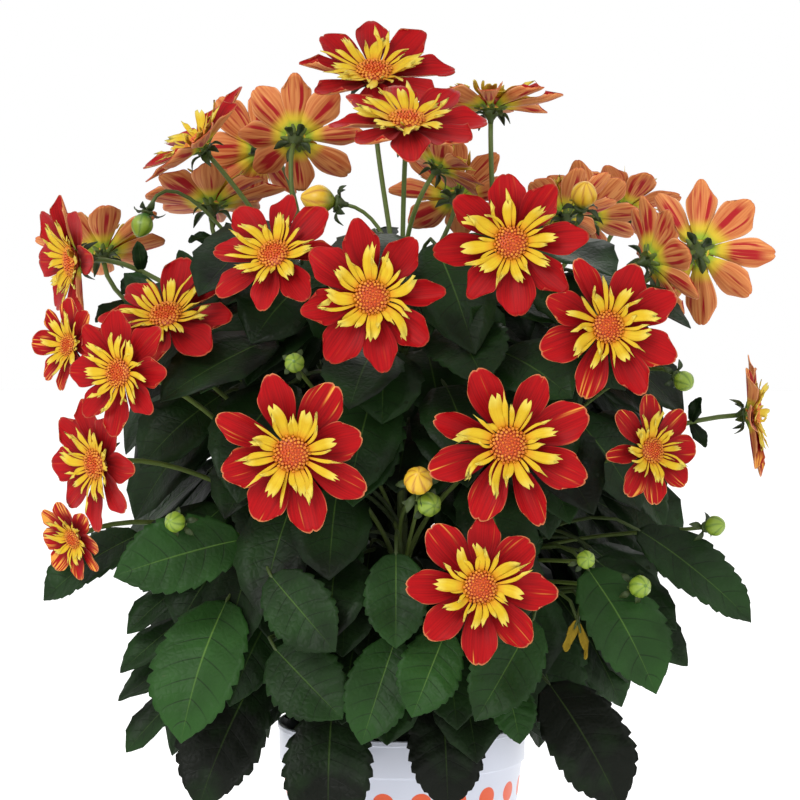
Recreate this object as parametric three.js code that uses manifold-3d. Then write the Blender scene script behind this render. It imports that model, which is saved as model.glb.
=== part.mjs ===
// A dahlia bush in its nursery pot: thirty two-coloured collar flowers on thin stalks, a round mass
// of toothed leaves on six main stems, buds, potting soil and a tapered pot with a rolled rim.
// Millimetres, +Z up. The origin is the middle of the pot's underside; the plant's front faces -Y.
import * as THREE from 'three';
import Module from 'manifold-3d';
import { mergeVertices } from 'three/addons/utils/BufferGeometryUtils.js';

const wasm = await Module();
wasm.setup();

// The pot and its soil.
const POT_HEIGHT = 170;
const RIM_RADIUS = 86;
const RIM_BAND_HEIGHT = 25;
const RIM_OVERHANG = 2.5;
const LIP_HEIGHT = 4;
const POT_BASE_RADIUS = 66;
const POT_WALL = 2;
const POT_SIDES = 24;
const DRAIN_HOLES = 4;
const DRAIN_RADIUS = 5;
const DRAIN_RING_RADIUS = 50;
const SOIL_BELOW_RIM = 22;
const SOIL_MOUND = { edge: 60, shoulder: 28, rise: 5 };
const CLEARANCE = 0.3;
const FUSE_TOLERANCE = 0.2;

// The main stems: one for each sixth of the bush.
const STEM_RING_RADIUS = 34;
const STEM_LEAN = 0.11;
const STEM_DEPTH_IN_SOIL = 45;
const STEM_FOOT_ABOVE_SOIL = 6;
const STEM_HOLE_ROOM = 3;
const STEM_RADIUS = 4;
const STEM_SIDES = 5;
const STEM_TOP = 430;
const STALK_RADIUS = 1.7;
const PETIOLE_RADIUS = 1.5;
const BRANCH_SPACING = 7;
const LOWEST_LEAF_NODE = 160;
const LOWEST_STALK_NODE = 234;

// A stalk sets off steeply up and a little outwards, and meets what it bears from behind. These
// are the shares of its span that it keeps to each of the three directions.
const STALK_RISE = 0.32;
const STALK_SPREAD = 0.12;
const STALK_NECK = 0.34;
const LONGEST_NECK = 60;
const STALK_STEPS = 3;

// A flower, given for one that is 96 mm across.
const BLOOM_DIAMETER = 96;
const RAY_COUNT = 8;
const HUB_RADIUS = 8;
const HUB_THICKNESS = 2;
const RAY_WIDTH = 25.5;
const RAY_THICKNESS = 1.4;
const TIP_NOTCH = 1.2;
const DISC_RADIUS = 11;
const DISC_HEIGHT = 8;
const DISC_SHOULDER = { radius: 6.6, drop: 1.4, relief: 1.2 };

// A ray petal's stations: distance from the flower's axis, half width against the widest, how far
// the edges stand above the midline and how far one edge stands above the other.
const RAY_BELLY = { r: 36, width: 1, lift: 2.4, roll: 1.6 };
const RAY_TIP = { r: BLOOM_DIAMETER / 2, width: 0.58, lift: 0.8, roll: 0 };

// The collar of short petals round the disc: where a petal is widest, where it ends, and the wall
// under the disc that it grows from.
const COLLAR_COUNT = 8;
const COLLAR_WIDTH = 7;
const COLLAR_THICKNESS = 1.4;
const COLLAR_BELLY_RADIUS = 19;
const COLLAR_REACH = 29;
const COLLAR_RISE = 0.14;
const HEART_FOOT_RADIUS = 6.5;
const HEART_WALL = { radius: 10, low: 2.6, high: 4.4 };

// The green cup behind a flower or bud and its bracts: how many, how far they stand out from the
// rim and how far they bend back. The last value is the bud whose cup is a full flower's.
const CUP_RADIUS = 5.5;
const CUP_DEPTH = 7;
const BRACT_THICKNESS = 1.6;
const FLOWER_CUP = { bracts: 4, reach: 13, bend: 5 };
const BUD_CUP = { bracts: 5, reach: 6, bend: 3 };
const BUD_DIAMETER = 22.5;
// A green bud's outline: share of its length ahead of the cup, and radius against its diameter.
const BUD_OUTLINE = [[0.25, 0.44], [0.6, 0.49], [0.9, 0.25]];

// A leaf blade: its greatest thickness, where it is widest and how full its outline is, how far
// its halves fold up, how far it arches, how much the blade of a row turns its face upwards and
// to the front, where the light was, how deep its notches cut and where its midrib has corners.
const LEAF_THICKNESS = 1.6;
const LEAF_BELLY = 0.72;
const LEAF_FULLNESS = 0.8;
const LEAF_FOLD = 0.16;
const SHOWN_ARCH = 0.07;
const ROW_ARCH = 0.06;
const LEAF_OPEN = 0.8;
const LIGHT_LEAN = 0.8;
const NOTCH_DEPTH = 0.86;
const RIB_MARKS = [0, 0.3, 0.65, 1];
// How far a blade keeps from a stalk, from another blade and from a flower: from the cone of its
// petals, past their ends, and from its heart and cup. Then the shifts that it may take to do so
// (degrees round the pot and height), and where on a blade this is looked at.
const BLADE_ROOM = 8;
const LEAF_ROOM = 6;
const PETAL_ROOM = 10;
const PETAL_END_ROOM = 5;
const PETAL_LIFT = 3;
const HEART_ROOM = { off: 20, ahead: 16 };
const MARGIN_ROOM = 3;
const STALK_MARKS = 24;
const LEAF_SHIFTS = [
  [0, 0], [0, -12], [0, 12], [7, 0], [-7, 0], [7, -14], [-7, -14], [0, -24], [0, 24],
  [12, 8], [-12, 8], [12, -26], [-12, -26],
];
const BLADE_SHARES = [0.08, 0.22, 0.36, 0.5, 0.64, 0.78, 0.92];
const BLADE_SPREAD = [-0.9, -0.45, 0, 0.45, 0.9];

const GREEN = { color: 0x2c4f2c, roughness: 0.5, metalness: 0 };
const RED = { color: 0xc9151e, roughness: 0.6, metalness: 0 };
const YELLOW = { color: 0xf3d321, roughness: 0.6, metalness: 0 };
const APRICOT = { color: 0xd9824f, roughness: 0.65, metalness: 0 };
const WHITE = { color: 0xe9ebf2, roughness: 0.3, metalness: 0 };
const SOIL = { color: 0x2a1f18, roughness: 0.95, metalness: 0 };

// Six sectors of the bush, named as seen from the front. The angle is measured at the pot's axis
// from the front, positive towards the right.
const SECTORS = {
  front: 0,
  front_right: 60,
  back_right: 120,
  back: 180,
  back_left: -120,
  front_left: -60,
};

// Each flower: middle of its face, the way it looks (turn from the front towards the right, and
// lift above level), how far it is spun anticlockwise on its stalk, its size across, how far its
// rays cup forward, and the stem that bears it.
// A flower in 'two' pieces has its red rays and its yellow heart apart.
const BLOOMS = [
  { at: [-19, -200, 470], turn: 0, lift: 5, spin: 8, size: 96, cup: 8, stem: 'front', pieces: 'two' },
  { at: [-80, -168, 494], turn: -20, lift: 35, size: 88, cup: 8, stem: 'front', pieces: 'two' },
  { at: [69, -176, 503], turn: -6, lift: 8, spin: 8, size: 94, cup: 12, stem: 'front', pieces: 'two' },
  { at: [128, -190, 451], turn: 12, lift: 5, spin: 22, size: 90, cup: 14, stem: 'front_right', pieces: 'two' },
  { at: [-68, -214, 374], turn: -5, lift: 0, spin: 16, size: 98, cup: 8, stem: 'front', pieces: 'two' },
  { at: [66, -214, 379], turn: 0, lift: 5, spin: 22, size: 100, cup: 10, stem: 'front', pieces: 'two' },
  { at: [48, -222, 291], turn: 5, lift: 8, spin: -5, size: 92, cup: 8, stem: 'front', pieces: 'two' },
  { at: [158, -152, 370], turn: 32, lift: 8, size: 72, cup: 8, stem: 'front_right', pieces: 'two' },
  { at: [-179, -152, 420], turn: -32, lift: 4, size: 80, cup: 10, stem: 'front_left', pieces: 'two' },
  { at: [-153, -110, 452], turn: -15, lift: 48, size: 96, cup: 6, stem: 'front_left', pieces: 'two' },
  { at: [-197, -118, 359], turn: -48, lift: -4, size: 86, cup: 10, stem: 'front_left', pieces: 'two' },
  { at: [-220, -66, 433], turn: -48, lift: 8, size: 64, cup: 12, stem: 'front_left', pieces: 'two' },
  { at: [-216, -88, 307], turn: -42, lift: -18, size: 58, cup: 14, stem: 'front_left', pieces: 'two' },
  { at: [-19, 0, 613], turn: 2, lift: 54, size: 106, cup: 10, stem: 'front', pieces: 'two' },
  { at: [3, -104, 578], turn: 6, lift: 62, size: 102, cup: 4, stem: 'front', pieces: 'two' },
  { at: [61, 12, 593], turn: 175, lift: 80, size: 98, cup: 4, stem: 'back_right', pieces: 'two' },
  { at: [-138, 6, 566], turn: -72, lift: 48, size: 92, cup: 12, stem: 'back_left', pieces: 'two' },
  { at: [-222, -10, 488], turn: -62, lift: -4, size: 90, cup: 14, stem: 'front_left', pieces: 'two' },
  { at: [237, -14, 383], turn: 78, lift: 4, size: 84, cup: 6, stem: 'front_right', pieces: 'two' },
  { at: [25, 12, 552], turn: 120, lift: 52, size: 72, cup: 10, stem: 'back', pieces: 'one' },
  { at: [-74, 44, 572], turn: 172, lift: 24, size: 92, cup: 14, stem: 'back_left', pieces: 'one' },
  { at: [-101, 116, 564], turn: -150, lift: 10, size: 92, cup: 12, stem: 'back_left', pieces: 'one' },
  { at: [-134, 62, 526], turn: 180, lift: 66, size: 99, cup: 10, stem: 'back_left', pieces: 'one' },
  { at: [-210, 56, 492], turn: -170, lift: 52, size: 88, cup: 14, stem: 'back_left', pieces: 'one' },
  { at: [38, 66, 531], turn: 176, lift: 34, size: 88, cup: 12, stem: 'back', pieces: 'one' },
  { at: [113, 34, 519], turn: -165, lift: 48, size: 80, cup: 14, stem: 'back_right', pieces: 'one' },
  { at: [132, 90, 517], turn: 165, lift: 40, size: 82, cup: 14, stem: 'back_right', pieces: 'one' },
  { at: [162, 150, 522], turn: 150, lift: 50, size: 82, cup: 14, stem: 'back_right', pieces: 'one' },
  { at: [170, -6, 489], turn: 112, lift: 18, size: 92, cup: 16, stem: 'back_right', pieces: 'one' },
  { at: [210, 72, 493], turn: 160, lift: 2, size: 100, cup: 10, stem: 'back_right', pieces: 'one' },
];

// Each bud: its middle, the way it points, its size across and the stem that bears it.
const BUDS = [
  { at: [-56, -60, 530], turn: -80, lift: 10, size: 22, stem: 'front', ripe: true },
  { at: [124, -8, 533], turn: 10, lift: 50, size: 20, stem: 'back_right', ripe: true },
  { at: [-178, 0, 512], turn: -40, lift: -60, size: 17, stem: 'back_left' },
  { at: [10, -206, 356], turn: 0, lift: 30, size: 20, stem: 'front', ripe: true },
  { at: [17, -196, 340], turn: 20, lift: 0, size: 17, stem: 'front' },
  { at: [-68, -178, 428], turn: 0, lift: 10, size: 14, stem: 'front' },
  { at: [-146, -150, 324], turn: -20, lift: 10, size: 15, stem: 'front_left' },
  { at: [174, -20, 460], turn: 30, lift: -40, size: 15, stem: 'front_right' },
  { at: [184, -110, 412], turn: 30, lift: -20, size: 15, stem: 'front_right' },
  { at: [116, -186, 304], turn: 10, lift: 10, size: 13, stem: 'front_right' },
  { at: [152, -164, 284], turn: 20, lift: 10, size: 16, stem: 'front_right' },
  { at: [206, -100, 316], turn: 40, lift: 10, size: 15, stem: 'front_right' },
  { at: [30, 190, 430], turn: 175, lift: 30, size: 18, stem: 'back' },
];

// The large leaves of the front, where each one shows: the root of its blade, its tip and its
// width. Their faces look mostly forwards.
const SHOWN_LEAVES = [
  { root: [-115, -110, 268], tip: [-143, -148, 180], width: 66, stem: 'front_left' },
  { root: [-104, -128, 310], tip: [-186, -146, 288], width: 52, stem: 'front_left' },
  { root: [-84, -158, 290], tip: [-42, -190, 246], width: 46, stem: 'front' },
  { root: [-82, -140, 240], tip: [-38, -172, 200], width: 52, stem: 'front' },
  { root: [-96, -84, 216], tip: [-134, -112, 130], width: 62, stem: 'front_left' },
  { root: [-46, -106, 198], tip: [-48, -132, 118], width: 62, stem: 'front' },
  { root: [-4, -156, 250], tip: [-26, -176, 184], width: 44, stem: 'front' },
  { root: [-4, -168, 306], tip: [-4, -190, 248], width: 42, stem: 'front' },
  { root: [28, -166, 256], tip: [6, -190, 204], width: 42, stem: 'front' },
  { root: [84, -158, 262], tip: [46, -192, 202], width: 46, stem: 'front' },
  { root: [66, -132, 222], tip: [76, -150, 180], width: 30, stem: 'front' },
  { root: [26, -106, 206], tip: [30, -126, 132], width: 52, stem: 'front' },
  { root: [96, -116, 214], tip: [142, -144, 136], width: 58, stem: 'front_right' },
  { root: [120, -140, 292], tip: [162, -172, 216], width: 56, stem: 'front_right' },
  { root: [156, -88, 312], tip: [230, -100, 252], width: 46, stem: 'front_right' },
  { root: [-176, -62, 306], tip: [-240, -66, 262], width: 42, stem: 'front_left' },
];

// Rows of leaves that ring the bush: height and distance from the axis of the blade's root, how
// steeply the blade drops, its length and width, its teeth on a side, its places across a sector
// in degrees, and the sectors that have it. In the sectors that face the viewer the lower rows
// are inner ones, because the shown leaves hang outside them.
const AROUND = Object.keys(SECTORS);
const BEHIND = ['back_right', 'back', 'back_left'];
const BEFORE = ['front', 'front_right', 'front_left'];
const LEAF_ROWS = [
  { z: 232, r: 96, drop: 62, length: 96, width: 62, teeth: 3, places: [-15, 15], sectors: BEHIND },
  { z: 290, r: 108, drop: 58, length: 100, width: 62, teeth: 3, places: [-17, 13], sectors: BEHIND },
  { z: 346, r: 120, drop: 52, length: 98, width: 62, teeth: 3, places: [-13, 17], sectors: BEHIND },
  { z: 244, r: 60, drop: 50, length: 80, width: 54, teeth: 2, places: [-18], sectors: BEFORE },
  { z: 262, r: 104, drop: 60, length: 88, width: 60, teeth: 3, places: [-14, 14], sectors: BEFORE },
  { z: 318, r: 72, drop: 56, length: 78, width: 54, teeth: 3, places: [-16, 12], sectors: BEFORE },
  { z: 366, r: 110, drop: 56, length: 76, width: 52, teeth: 3, places: [-10, 18], sectors: BEFORE },
  { z: 408, r: 122, drop: 50, length: 90, width: 58, teeth: 3, places: [-16, 14], sectors: AROUND },
  { z: 458, r: 108, drop: 34, length: 86, width: 56, teeth: 3, places: [-13, 15], sectors: AROUND },
  { z: 484, r: 66, drop: 20, length: 70, width: 44, teeth: 2, places: [-25], sectors: AROUND },
];

const radians = THREE.MathUtils.degToRad;
const UP = new THREE.Vector3(0, 0, 1);

// A number from -1 to 1 that depends only on the key, for small natural differences.
function wobble(key) {
  const spread = Math.sin(key * 12.9898) * 43758.5453;
  return 2 * (spread - Math.floor(spread)) - 1;
}

// The direction that looks turn degrees right of the front and lift degrees above level.
function direction(turn, lift) {
  const t = radians(turn);
  const l = radians(lift);
  return new THREE.Vector3(Math.sin(t) * Math.cos(l), -Math.cos(t) * Math.cos(l), Math.sin(l));
}

function point([x, y, z]) {
  return new THREE.Vector3(x, y, z);
}

// The turn that carries local +Z to the way a piece looks, and local +Y as near upright as it goes.
function facing(look) {
  const side = new THREE.Vector3().crossVectors(UP, look);
  if (side.length() < 0.01) {
    side.set(1, 0, 0);
  }
  side.normalize();
  const rise = new THREE.Vector3().crossVectors(look, side);
  const axes = new THREE.Matrix4().makeBasis(side, rise, look);
  return new THREE.Quaternion().setFromRotationMatrix(axes);
}

// A closed surface in the making. A ring runs anticlockwise round the axis that it faces along.
class Shell {
  points = [];

  faces = [];

  add(p) {
    return this.points.push(p) - 1;
  }

  ring(points) {
    return points.map((p) => this.add(p));
  }

  face(...corners) {
    for (let i = 1; i + 1 < corners.length; i += 1) {
      this.faces.push([corners[0], corners[i], corners[i + 1]]);
    }
  }

  // The wall between two rings of as many points each.
  band(low, high) {
    low.forEach((a, i) => {
      const j = (i + 1) % low.length;
      this.face(a, low[j], high[j], high[i]);
    });
  }

  // A wall like band, drawn out to a point on each of its sides.
  spikes(low, high, tips) {
    low.forEach((a, i) => {
      const j = (i + 1) % low.length;
      const tip = this.add(tips[i]);
      this.face(a, low[j], tip);
      this.face(low[j], high[j], tip);
      this.face(high[j], high[i], tip);
      this.face(high[i], a, tip);
    });
  }

  // A blade that grows out of one side of a wall, whose upper corners are a and b. Each station
  // has its two thin edges, nearA and nearB, and its midline, up and down. At the last one up and
  // down are one point, and where the blade ends in a point so are the edges.
  blade(a, b, lowA, lowB, stations) {
    let now = null;
    for (const s of stations) {
      const up = this.add(s.up);
      const down = s.down ? this.add(s.down) : up;
      const nearA = s.nearA ? this.add(s.nearA) : up;
      const nearB = s.nearB ? this.add(s.nearB) : up;
      if (!now) {
        this.face(a, nearA, up);
        this.face(a, up, b);
        this.face(b, up, nearB);
        this.face(lowA, down, nearA);
        this.face(lowA, lowB, down);
        this.face(lowB, nearB, down);
        this.face(a, lowA, nearA);
        this.face(b, nearB, lowB);
      } else if (nearA === up) {
        this.face(now.nearA, up, now.up);
        this.face(now.up, up, now.nearB);
        this.face(now.nearA, now.down, up);
        this.face(now.down, now.nearB, up);
      } else {
        this.face(now.up, now.nearA, nearA, up);
        this.face(now.up, up, nearB, now.nearB);
        this.face(now.down, down, nearA, now.nearA);
        this.face(now.down, now.nearB, nearB, down);
      }
      now = { up, down, nearA, nearB };
    }
  }

  geometry() {
    const geometry = new THREE.BufferGeometry();
    const flat = this.points.flatMap((p) => [p.x, p.y, p.z]);
    geometry.setAttribute('position', new THREE.Float32BufferAttribute(flat, 3));
    geometry.setIndex(this.faces.flat());
    return geometry;
  }
}

// Turns a geometry into a solid that can be joined and cut.
function solid(geometry) {
  const bare = geometry.clone();
  bare.deleteAttribute('normal');
  bare.deleteAttribute('uv');
  const merged = mergeVertices(bare, 1e-4);
  const vertProperties = new Float32Array(merged.getAttribute('position').array);
  const triVerts = new Uint32Array(merged.getIndex().array);
  return new wasm.Manifold(new wasm.Mesh({ numProp: 3, vertProperties, triVerts }));
}

function geometryOf(manifold) {
  const mesh = manifold.getMesh();
  const geometry = new THREE.BufferGeometry();
  geometry.setAttribute('position', new THREE.BufferAttribute(mesh.vertProperties, 3));
  geometry.setIndex(new THREE.BufferAttribute(mesh.triVerts, 1));
  return geometry;
}

// Joins geometries that sink into each other. A scrap that fusing leaves loose is dropped.
function fuse(geometries) {
  const joined = geometries.map(solid).reduce((sum, piece) => sum.add(piece));
  const bodies = joined.simplify(FUSE_TOLERANCE).decompose();
  return geometryOf(bodies.reduce((a, b) => (b.volume() > a.volume() ? b : a)));
}

function named(name, geometry, finish) {
  const mesh = new THREE.Mesh(geometry, new THREE.MeshStandardMaterial(finish));
  mesh.name = name;
  return mesh;
}

// A point given by its angle round the axis, its distance from it, its place across and its height.
function polar(angle, r, across, z) {
  const [c, d] = [Math.cos(angle), Math.sin(angle)];
  return new THREE.Vector3(c * r - d * across, d * r + c * across, z);
}

function ringAt(count, r, z) {
  return Array.from({ length: count }, (_, k) => {
    const height = typeof z === 'function' ? z(k) : z;
    return polar(((2 * k - 1) * Math.PI) / count, r, 0, height);
  });
}

// The stations of one blade of a wheel, worked out from its plan: r is the distance from the axis,
// half the half width, z the height of the midline, lift how far the edges stand above that and
// roll how far one edge stands above the other.
function stationsOf(angle, thick, plan) {
  return plan.map((s, i) => {
    const last = i === plan.length - 1;
    const turn = angle + radians(s.swing);
    const edge = (hand) => polar(turn, s.r, hand * s.half, s.z + s.lift + hand * s.roll);
    const pointed = s.half === 0;
    return {
      up: polar(turn, s.r - (last && !pointed ? TIP_NOTCH : 0), 0, s.z),
      down: last ? null : polar(turn, s.r, 0, s.z - thick),
      nearA: pointed ? null : edge(-1),
      nearB: pointed ? null : edge(1),
    };
  });
}

// The outline of a ray petal, station by station: long, rounded and shallowly grooved, a little
// turned on itself like its neighbours.
function rayPlan(bloom, key) {
  const slope = Math.tan(radians(bloom.cup));
  const reach = 1 + 0.05 * wobble(key);
  const half = (RAY_WIDTH / 2) * (1 + 0.06 * wobble(key + 1));
  const swing = 2.2 * wobble(key + 2);
  const bend = 2 * wobble(key + 3);
  const station = ({ r, width, lift, roll }, share) => ({
    r: r * (share === 1 ? reach : 1),
    half: half * width,
    z: slope * (r - HUB_RADIUS) + share * bend,
    lift,
    roll,
    swing,
  });
  return [station(RAY_BELLY, 0.4), station(RAY_TIP, 1)];
}

// The ray petals of a flower on their flat hub. The shell stays open on top for what comes there.
function rayShell(bloom, index) {
  const shell = new Shell();
  const low = shell.ring(ringAt(RAY_COUNT, HUB_RADIUS, -HUB_THICKNESS));
  const top = shell.ring(ringAt(RAY_COUNT, HUB_RADIUS, 0));
  shell.face(...[...low].reverse());
  top.forEach((a, k) => {
    const next = (k + 1) % RAY_COUNT;
    const plan = rayPlan(bloom, index * 31 + k * 7);
    const stations = stationsOf((2 * Math.PI * k) / RAY_COUNT, RAY_THICKNESS, plan);
    shell.blade(a, top[next], low[k], low[next], stations);
  });
  return { shell, top };
}

// The dome of florets that closes a shell over a ring, with its shoulder in low relief.
function discDome(shell, ring) {
  const relief = (k) => DISC_HEIGHT - DISC_SHOULDER.drop + DISC_SHOULDER.relief * (k % 2);
  const shoulder = shell.ring(ringAt(ring.length, DISC_SHOULDER.radius, relief));
  shell.band(ring, shoulder);
  const peak = shell.add(new THREE.Vector3(0, 0, DISC_HEIGHT));
  shoulder.forEach((a, k) => shell.face(a, shoulder[(k + 1) % shoulder.length], peak));
}

function rayWheel(bloom, index) {
  const { shell, top } = rayShell(bloom, index);
  shell.face(...top);
  return shell;
}

// The flower's heart: the domed disc of florets and the collar of short narrow petals round it.
function heartShell(bloom, index, foot) {
  const shell = new Shell();
  const slope = Math.tan(radians(bloom.cup));
  const wall = HEART_WALL;
  const base = shell.ring(ringAt(COLLAR_COUNT, HEART_FOOT_RADIUS, foot));
  const low = shell.ring(ringAt(COLLAR_COUNT, wall.radius, wall.low));
  const top = shell.ring(ringAt(COLLAR_COUNT, wall.radius + 0.5, wall.high));
  shell.face(...[...base].reverse());
  shell.band(base, low);
  const rise = (r) => wall.high + 0.6 + slope * (r - HUB_RADIUS) + COLLAR_RISE * (r - DISC_RADIUS);
  top.forEach((a, k) => {
    const next = (k + 1) % COLLAR_COUNT;
    const key = 500 + index * 37 + k * 5;
    const belly = COLLAR_BELLY_RADIUS;
    const reach = COLLAR_REACH * (1 + 0.14 * wobble(key));
    const half = (COLLAR_WIDTH / 2) * (1 + 0.25 * wobble(key + 1));
    const swing = 5 * wobble(key + 2);
    const plan = [
      { r: belly, half, z: rise(belly) + 0.6 * wobble(key + 3), lift: 0.9, roll: 0, swing },
      { r: reach, half: 0, z: rise(reach) + wobble(key + 4), lift: 0, roll: 0, swing },
    ];
    const stations = stationsOf((2 * Math.PI * k) / COLLAR_COUNT, COLLAR_THICKNESS, plan);
    shell.blade(a, top[next], low[k], low[next], stations);
  });
  discDome(shell, top);
  return shell;
}

// A small whole flower as one body: the rays, a spiky collar and the dome.
function wholeFlower(bloom, index) {
  const { shell, top } = rayShell(bloom, index);
  const low = shell.ring(ringAt(RAY_COUNT, HEART_WALL.radius, HEART_WALL.low));
  const high = shell.ring(ringAt(RAY_COUNT, HEART_WALL.radius + 0.5, HEART_WALL.high));
  shell.band(top, low);
  const slope = Math.tan(radians(bloom.cup));
  const tips = top.map((_, k) => {
    const reach = COLLAR_REACH * (1 + 0.12 * wobble(index * 41 + k));
    return polar((2 * Math.PI * k) / RAY_COUNT, reach, 0, DISC_HEIGHT + slope * (reach - HUB_RADIUS));
  });
  shell.spikes(low, high, tips);
  discDome(shell, high);
  return shell;
}

// The stalk of a flower or bud, its green cup and the cup's pointed bracts. The shell stays open
// on top and gives the cup's rim.
function stalkShell({ line: curve, look, scale }, radius, { bracts, reach, bend }) {
  const shell = new Shell();
  const steps = STALK_STEPS;
  const frames = curve.computeFrenetFrames(steps, false);
  const round = (centre, r, turn, i) => Array.from({ length: bracts }, (_, k) => {
    const angle = (2 * Math.PI * (k + turn)) / bracts;
    return centre.clone()
      .addScaledVector(frames.normals[i], r * Math.cos(angle))
      .addScaledVector(frames.binormals[i], r * Math.sin(angle));
  });
  const rings = [];
  for (let i = 0; i <= steps; i += 1) {
    rings.push(shell.ring(round(curve.getPointAt(i / steps), radius, 0, i)));
  }
  shell.face(...[...rings[0]].reverse());
  rings.slice(1).forEach((ring, i) => shell.band(rings[i], ring));
  const rim = curve.getPointAt(1).addScaledVector(look, CUP_DEPTH * scale);
  const under = rim.clone().addScaledVector(look, -BRACT_THICKNESS * scale);
  const low = shell.ring(round(under, (CUP_RADIUS - 0.8) * scale, 0, steps));
  const top = shell.ring(round(rim, CUP_RADIUS * scale, 0, steps));
  shell.band(rings[steps], low);
  const back = rim.clone().addScaledVector(look, -bend * scale);
  shell.spikes(low, top, round(back, (CUP_RADIUS + reach) * scale, 0.5, steps));
  return { shell, top, rim, round: (centre, r) => round(centre, r, 0, steps) };
}

// A stem, stalk or leaf stalk: a round bar along a curve.
function bar(curve, radius, sides, steps) {
  const section = new THREE.Shape();
  for (let i = 0; i < sides; i += 1) {
    const angle = (2 * Math.PI * i) / sides;
    const [x, y] = [radius * Math.cos(angle), radius * Math.sin(angle)];
    if (i === 0) {
      section.moveTo(x, y);
    } else {
      section.lineTo(x, y);
    }
  }
  section.closePath();
  return new THREE.ExtrudeGeometry(section, { steps, extrudePath: curve, bevelEnabled: false });
}

// Where the main stem of a sector passes a height.
function stemPoint(stem, z) {
  const out = direction(SECTORS[stem], 0);
  const r = STEM_RING_RADIUS + STEM_LEAN * (z - POT_HEIGHT);
  return out.multiplyScalar(r).setZ(z);
}

function mainStem(stem) {
  const low = POT_HEIGHT - SOIL_BELOW_RIM - STEM_DEPTH_IN_SOIL;
  const foot = POT_HEIGHT - SOIL_BELOW_RIM + STEM_FOOT_ABOVE_SOIL;
  const points = [stemPoint(stem, foot).setZ(low), stemPoint(stem, foot)];
  points.push(stemPoint(stem, (foot + STEM_TOP) / 2), stemPoint(stem, STEM_TOP));
  return bar(new THREE.CatmullRomCurve3(points), STEM_RADIUS, STEM_SIDES, points.length);
}

// Heights at which branches leave a main stem: as wanted, but spaced out from the lowest up.
function branchHeights(wanted, lowest, highest) {
  const order = wanted.map((_, i) => i).sort((a, b) => wanted[a] - wanted[b] || a - b);
  const heights = [];
  let free = lowest;
  for (const i of order) {
    heights[i] = Math.min(Math.max(wanted[i], free), highest);
    free = heights[i] + BRANCH_SPACING;
  }
  return heights;
}

// The line of a stalk that leaves the main stem upwards and meets what it bears from behind.
function stalkLine(stem, height, end, look) {
  const start = stemPoint(stem, height);
  const span = start.distanceTo(end);
  const out = direction(SECTORS[stem], 0);
  const first = start.clone().addScaledVector(UP, span * STALK_RISE);
  first.addScaledVector(out, span * STALK_SPREAD);
  const second = end.clone().addScaledVector(look, -Math.min(LONGEST_NECK, span * STALK_NECK));
  return new THREE.CubicBezierCurve3(start, first, second, end);
}

// The axes of a blade: along its midrib, out of its upper face and across it.
function bladeAxes({ root, tip, out }) {
  const along = new THREE.Vector3().subVectors(tip, root);
  const length = along.length();
  along.normalize();
  const face = out.clone().addScaledVector(along, -out.dot(along)).normalize();
  return { along, face, side: new THREE.Vector3().crossVectors(face, along), length };
}

// A blade's half width at a share of the way to its tip, and how high it stands there above the
// straight line from root to tip.
function bladeHalf(width, s) {
  return (width / 2) * Math.sin(Math.PI * s ** LEAF_BELLY) ** LEAF_FULLNESS;
}

function bladeRise(arch, length, s, across) {
  return arch * length * 4 * s * (1 - s) + LEAF_FOLD * Math.abs(across);
}

// One toothed leaf on its stalk, as one closed body: thick along the midrib and thin at the edge,
// which goes out to each tooth and back to the notch after it. The midrib arches outwards.
function leaf({ start, root, tip, width, out, arch, teeth, key }) {
  const shell = new Shell();
  const { along, face, side, length } = bladeAxes({ root, tip, out });
  const place = (s, across, height) => {
    const rise = height + bladeRise(arch, length, s, across);
    const p = root.clone().addScaledVector(along, s * length);
    return shell.add(p.addScaledVector(side, across).addScaledVector(face, rise));
  };
  const half = (s) => bladeHalf(width, s);
  const stalk = (p) => [[side, 1], [face, 1], [side, -1], [face, -1]]
    .map(([way, sign]) => shell.add(p.clone().addScaledVector(way, sign * PETIOLE_RADIUS)));
  const [left, top, right, low] = stalk(root);
  const foot = stalk(start);
  shell.face(...[...foot].reverse());
  shell.band(foot, [left, top, right, low]);
  const inner = RIB_MARKS.slice(1, -1);
  const end = place(1, 0, 0);
  const ribTop = [top, ...inner.map((s) => place(s, 0, LEAF_THICKNESS / 2)), end];
  const ribLow = [low, ...inner.map((s) => place(s, 0, -LEAF_THICKNESS / 2)), end];
  for (const hand of [-1, 1]) {
    const edge = [hand > 0 ? left : right];
    const edgeMarks = [0];
    const mark = (s, across, wave) => {
      edge.push(place(s, hand * across, wave));
      edgeMarks.push(s);
    };
    for (let t = 0; t < teeth; t += 1) {
      const tooth = (t + 0.75) / (teeth + 0.25);
      mark(tooth, half(tooth) * (1 + 0.05 * wobble(key + t)), 1.5 * wobble(key + 3 * t + hand));
      if (t < teeth - 1) {
        const notch = (t + 1.05) / (teeth + 0.25);
        mark(notch, half(notch) * NOTCH_DEPTH, 0);
      }
    }
    strip(shell, ribTop, edgeMarks, edge, hand > 0);
    strip(shell, ribLow, edgeMarks, edge, hand < 0);
  }
  return shell.geometry();
}

// Triangles between a midrib and one edge of a blade, which meet at the tip. The next point is
// taken on whichever line has come less far, so that both faces of a blade are split alike.
function strip(shell, rib, edgeMarks, edge, flip) {
  const tip = rib.length - 1;
  let i = 0;
  let j = 0;
  while (i < tip) {
    const takeRib = j === edge.length - 1 || RIB_MARKS[i + 1] <= edgeMarks[j + 1];
    const next = takeRib ? rib[i + 1] : edge[j + 1];
    shell.face(rib[i], flip ? next : edge[j], flip ? edge[j] : next);
    if (takeRib) {
      i += 1;
    } else {
      j += 1;
    }
  }
}

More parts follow.
